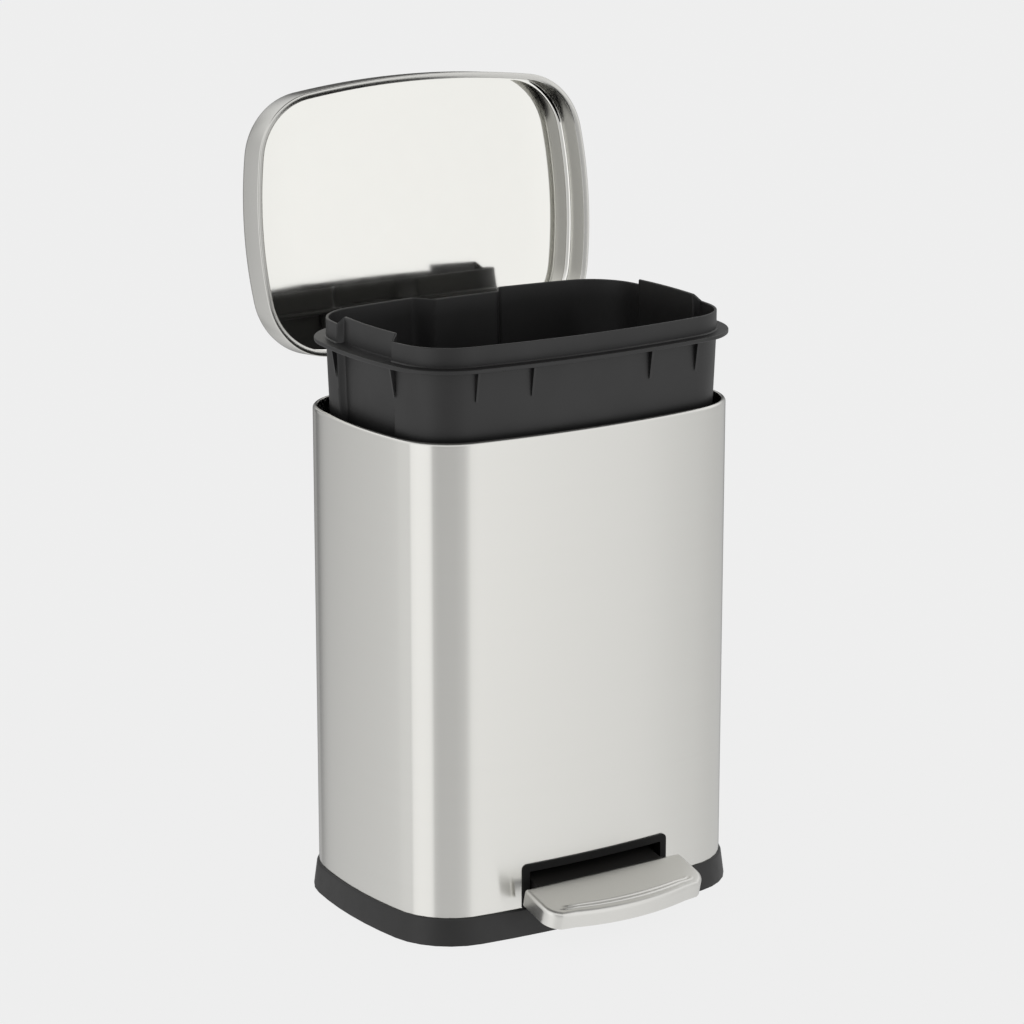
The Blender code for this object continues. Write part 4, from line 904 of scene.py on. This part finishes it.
def make_tread():
    """The stamped foot plate, with a turned-down skirt and two pressed ridges along the front."""
    skirt = TREAD_TOP - TREAD_SKIRT
    shoulder = TREAD_TOP - TREAD_EDGE_R
    section = [(0, skirt), (0, skirt + 0.0005), (0, skirt + 0.0015), (0, shoulder - 0.001)]
    section += arc((-TREAD_EDGE_R, shoulder), TREAD_EDGE_R, 0, math.pi / 2, 7)
    insets = [TREAD_EDGE_R + TREAD_STEP * k for k in range(1, TREAD_STEPS + 1)]
    section += [(-inset, TREAD_TOP) for inset in insets]
    front_line = FRONT - TREAD_BACK - RIDGE_ZONE
    rings = []
    for out, height in section:
        ring = []
        for x, y in tread_plan(out if -out <= TREAD_EDGE_R else -TREAD_EDGE_R):
            deeper = max(-out - TREAD_EDGE_R, 0.0)
            rise = ridge_height(-out, x) if y < front_line else 0.0
            ring.append((x * (1 - deeper / TREAD_HALF), y + deeper * slope_to_back(y),
                         height + rise))
        rings.append(ring)
    tread = loft("foot_plate", rings, TREAD_STEEL, caps=False)
    bm = bmesh.new()
    bm.from_mesh(tread.data)
    border = [edge for edge in bm.edges if edge.is_boundary
              and all(vert.co.z > TREAD_TOP - 0.0001 for vert in edge.verts)]
    bmesh.ops.contextual_create(bm, geom=border)
    gap = LEVER_HALF + LEVER_CLEAR
    back = FRONT - TREAD_BACK - TREAD_EDGE_R
    open_faces = [face for face in bm.faces
                  if face.calc_center_median().y > back and abs(face.calc_center_median().x) < gap
                  and face.calc_center_median().z < TREAD_TOP - 0.0012]
    bmesh.ops.delete(bm, geom=open_faces, context="FACES")
    bmesh.ops.recalc_face_normals(bm, faces=bm.faces)
    if sum(face.normal.z * face.calc_area() for face in bm.faces) < 0:
        bmesh.ops.reverse_faces(bm, faces=bm.faces)
    bm.to_mesh(tread.data)
    bm.free()
    sheet = tread.modifiers.new("sheet", "SOLIDIFY")
    sheet.thickness = SHEET
    sheet.offset = -1.0
    apply_modifiers(tread)
    carry_open(tread, "pedal")
    finish(tread, TREAD_STEEL)
    enter(tread, "pedal", "brushed_steel", "pedal_tread")


def slope_to_back(y):
    """How far a ring further in has moved back, from 1 at the front edge to -1 at the rear."""
    front = FRONT - TREAD_BACK - TREAD_LEN
    return 1 - 2 * (y - front) / TREAD_LEN


# ---------------------------------------------------------------- fixings and the kept nodes
def make_fixings():
    """Screws and nuts, each set made by its tree."""
    cover = [f"cover_screw_{k}" for k in range(1, 5)]
    housing = [f"housing_screw_{k}" for k in range(1, 5)]
    cover_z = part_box("cover_screw_1")[1].z - SCREW_HEAD_H
    seats = [((centre(name).x, centre(name).y, cover_z), (0, 0, 0)) for name in cover]
    for name in housing:
        seats.append(((centre(name).x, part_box(name)[0].y + SCREW_HEAD_H, centre(name).z),
                      (math.pi / 2, 0, 0)))
    screws = run_tree(marked_points("machine_screws", seats), SCREWS,
                      {"Head radius": SCREW_HEAD_R, "Head height": SCREW_HEAD_H,
                       "Recess": SCREW_RECESS, "Material": ZINC})
    enter(finish(screws, ZINC), "frame", "zinc_steel", *cover, *housing)
    sets = (("bracket_nuts", [f"bracket_nut_{k}" for k in range(1, 5)], "lid", -LID_OPEN,
             BRACKET_STUD_R),
            ("tread_nuts", ["tread_nut_left", "tread_nut_right"], "pedal", PEDAL_TURN,
             TREAD_STUD_R))
    for name, nodes, body, tilt, stud in sets:
        places = [(centre(cad_node), (tilt, 0, 0)) for cad_node in nodes]
        nuts = run_tree(marked_points(name, places), NUTS,
                        {"Across corners": NUT_CORNERS, "Height": NUT_H, "Stud radius": stud,
                         "Material": ZINC})
        enter(finish(nuts, ZINC), body, "zinc_steel", *nodes)


def paint_kept_nodes():
    """Procedural finishes for the CAD pieces whose shape is right as it is."""
    finishes = {
        ZINC: ("axle_clip_left", "axle_clip_right", "hinge_clip_left", "hinge_clip_right",
               "hinge_pin", "lever_axle", "rod_clip", "damper_cylinder", "damper_rod"),
        PAD_RUBBER: tuple(f"foot_pad_{k}" for k in range(1, 5)),
    }
    for material, names in finishes.items():
        for name in names:
            mesh = frame["nodes"][name].data
            mesh.materials.clear()
            mesh.materials.append(material)


# ---------------------------------------------------------------- studio
def make_floor():
    """A pale floor that the camera sees as evenly lit, with a trace of contact shadow."""
    bm = bmesh.new()
    bmesh.ops.create_grid(bm, x_segments=1, y_segments=1, size=40)
    floor = from_bmesh("floor", bm)
    material = bpy.data.materials.new("pale_floor")
    material.use_nodes = True
    tree = material.node_tree
    tree.nodes.clear()
    level = BACKDROP - FLOOR_DIFFUSE * STUDIO_MEAN
    glow = node(tree, "ShaderNodeEmission", {"Color": (level, level, level, 1)})
    matt = node(tree, "ShaderNodeBsdfDiffuse", {"Color": (*[FLOOR_DIFFUSE] * 3, 1)})
    both = node(tree, "ShaderNodeAddShader", {0: glow.outputs[0], 1: matt.outputs[0]})
    node(tree, "ShaderNodeOutputMaterial", {"Surface": both.outputs[0]})
    floor.data.materials.append(material)
    floor.visible_glossy = False
    floor.visible_diffuse = False
    floor.visible_shadow = False


def make_studio():
    """Soft light panels all round, brighter and darker by direction, and an even backdrop."""
    world = bpy.data.worlds.new("studio")
    bpy.context.scene.world = world
    world.use_nodes = True
    tree = world.node_tree
    tree.nodes.clear()
    direction = node(tree, "ShaderNodeTexCoord").outputs["Generated"]
    part = node(tree, "ShaderNodeSeparateXYZ", {0: direction}).outputs
    forward = math_node(tree, "MULTIPLY", part["Y"], -1.0)
    turn = math_node(tree, "ARCTAN2", part["X"], forward)
    share = math_node(tree, "MULTIPLY_ADD", turn, 1 / (2 * math.pi), 0.5)
    panels = node(tree, "ShaderNodeValToRGB", {0: share})
    stops = panels.color_ramp.elements
    while len(stops) > 1:
        stops.remove(stops[-1])
    for k, (degrees, level) in enumerate(STUDIO):
        stop = stops[0] if k == 0 else stops.new(degrees / 360 + 0.5)
        stop.position = degrees / 360 + 0.5
        stop.color = (*[level / 2] * 3, 1)
    doubled = math_node(tree, "MULTIPLY", panels.outputs["Color"], 2.0)
    contrast = node(tree, "ShaderNodeMapRange",
                    {"Value": part["Z"], "From Min": CONTRAST_RISE[0],
                     "From Max": CONTRAST_RISE[1], "To Min": CONTRAST[0],
                     "To Max": CONTRAST[1]}).outputs[0]
    swing = math_node(tree, "MULTIPLY", contrast,
                      math_node(tree, "SUBTRACT", doubled, STUDIO_MEAN))
    round_about = math_node(tree, "ADD", swing, STUDIO_MEAN)
    above = remap(tree, part["Z"], *OVERHEAD_RISE, 0.0, 1.0)
    below = remap(tree, part["Z"], *FLOOR_FALL, 0.0, 1.0)
    with_top = node(tree, "ShaderNodeMix", {0: above, 2: round_about, 3: OVERHEAD}).outputs[0]
    straight_up = remap(tree, part["Z"], *ZENITH_RISE, 0.0, 1.0)
    with_zenith = node(tree, "ShaderNodeMix", {0: straight_up, 2: with_top, 3: ZENITH}).outputs[0]
    whole = node(tree, "ShaderNodeMix", {0: below, 2: with_zenith, 3: STUDIO_MEAN}).outputs[0]
    lit = node(tree, "ShaderNodeBackground", {"Color": whole})
    backdrop = node(tree, "ShaderNodeBackground", {"Color": (*[BACKDROP] * 3, 1)})
    seen = node(tree, "ShaderNodeLightPath").outputs["Is Camera Ray"]
    chosen = node(tree, "ShaderNodeMixShader", {0: seen, 1: lit.outputs[0], 2: backdrop.outputs[0]})
    node(tree, "ShaderNodeOutputWorld", {"Surface": chosen.outputs[0]})


def make_camera():
    """The camera, from the front left and a little above."""
    data = bpy.data.cameras.new("camera")
    data.lens = CAMERA_LENS
    data.sensor_width = SENSOR
    data.clip_end = 100
    camera = new_object("camera", data)
    back = Vector((math.sin(CAMERA_TURN) * math.cos(CAMERA_UP),
                   -math.cos(CAMERA_TURN) * math.cos(CAMERA_UP), math.sin(CAMERA_UP)))
    camera.location = CAMERA_AT
    camera.rotation_euler = (-back).to_track_quat("-Z", "Y").to_euler()
    bpy.context.scene.camera = camera


# ---------------------------------------------------------------- the whole scene
make_body()
make_lid()
make_bucket()
make_fins()
make_tread()
refined("base_moulding", "base_tray", BASE_PLASTIC, "frame", "base_plastic", bevel=0)
refined("pedal_frame", "pedal_bezel", BEZEL_PLASTIC, "frame", "base_plastic", bevel=0)
refined("inner_floor", "mechanism_cover", BASE_PLASTIC, "frame", "base_plastic", bevel=0)
refined("rod_channel", "rear_channel", BASE_PLASTIC, "frame", "base_plastic")
refined("hinge_seat", "hinge_housing", BASE_PLASTIC, "frame", "base_plastic")
refined("hinge_bracket", "lid_bracket", BASE_PLASTIC, "lid", "base_plastic")
refined("lever", "pedal_lever", LEVER_PLASTIC, "pedal", "lever_plastic")
refined("crank_rod", "push_rod", ZINC, "rod", "zinc_steel", bevel=0)
make_fixings()
paint_kept_nodes()
make_floor()
make_studio()
make_camera()
bpy.context.scene.view_settings.view_transform = "Standard"
bpy.context.scene.view_settings.look = "None"

bpy.context.view_layer.update()
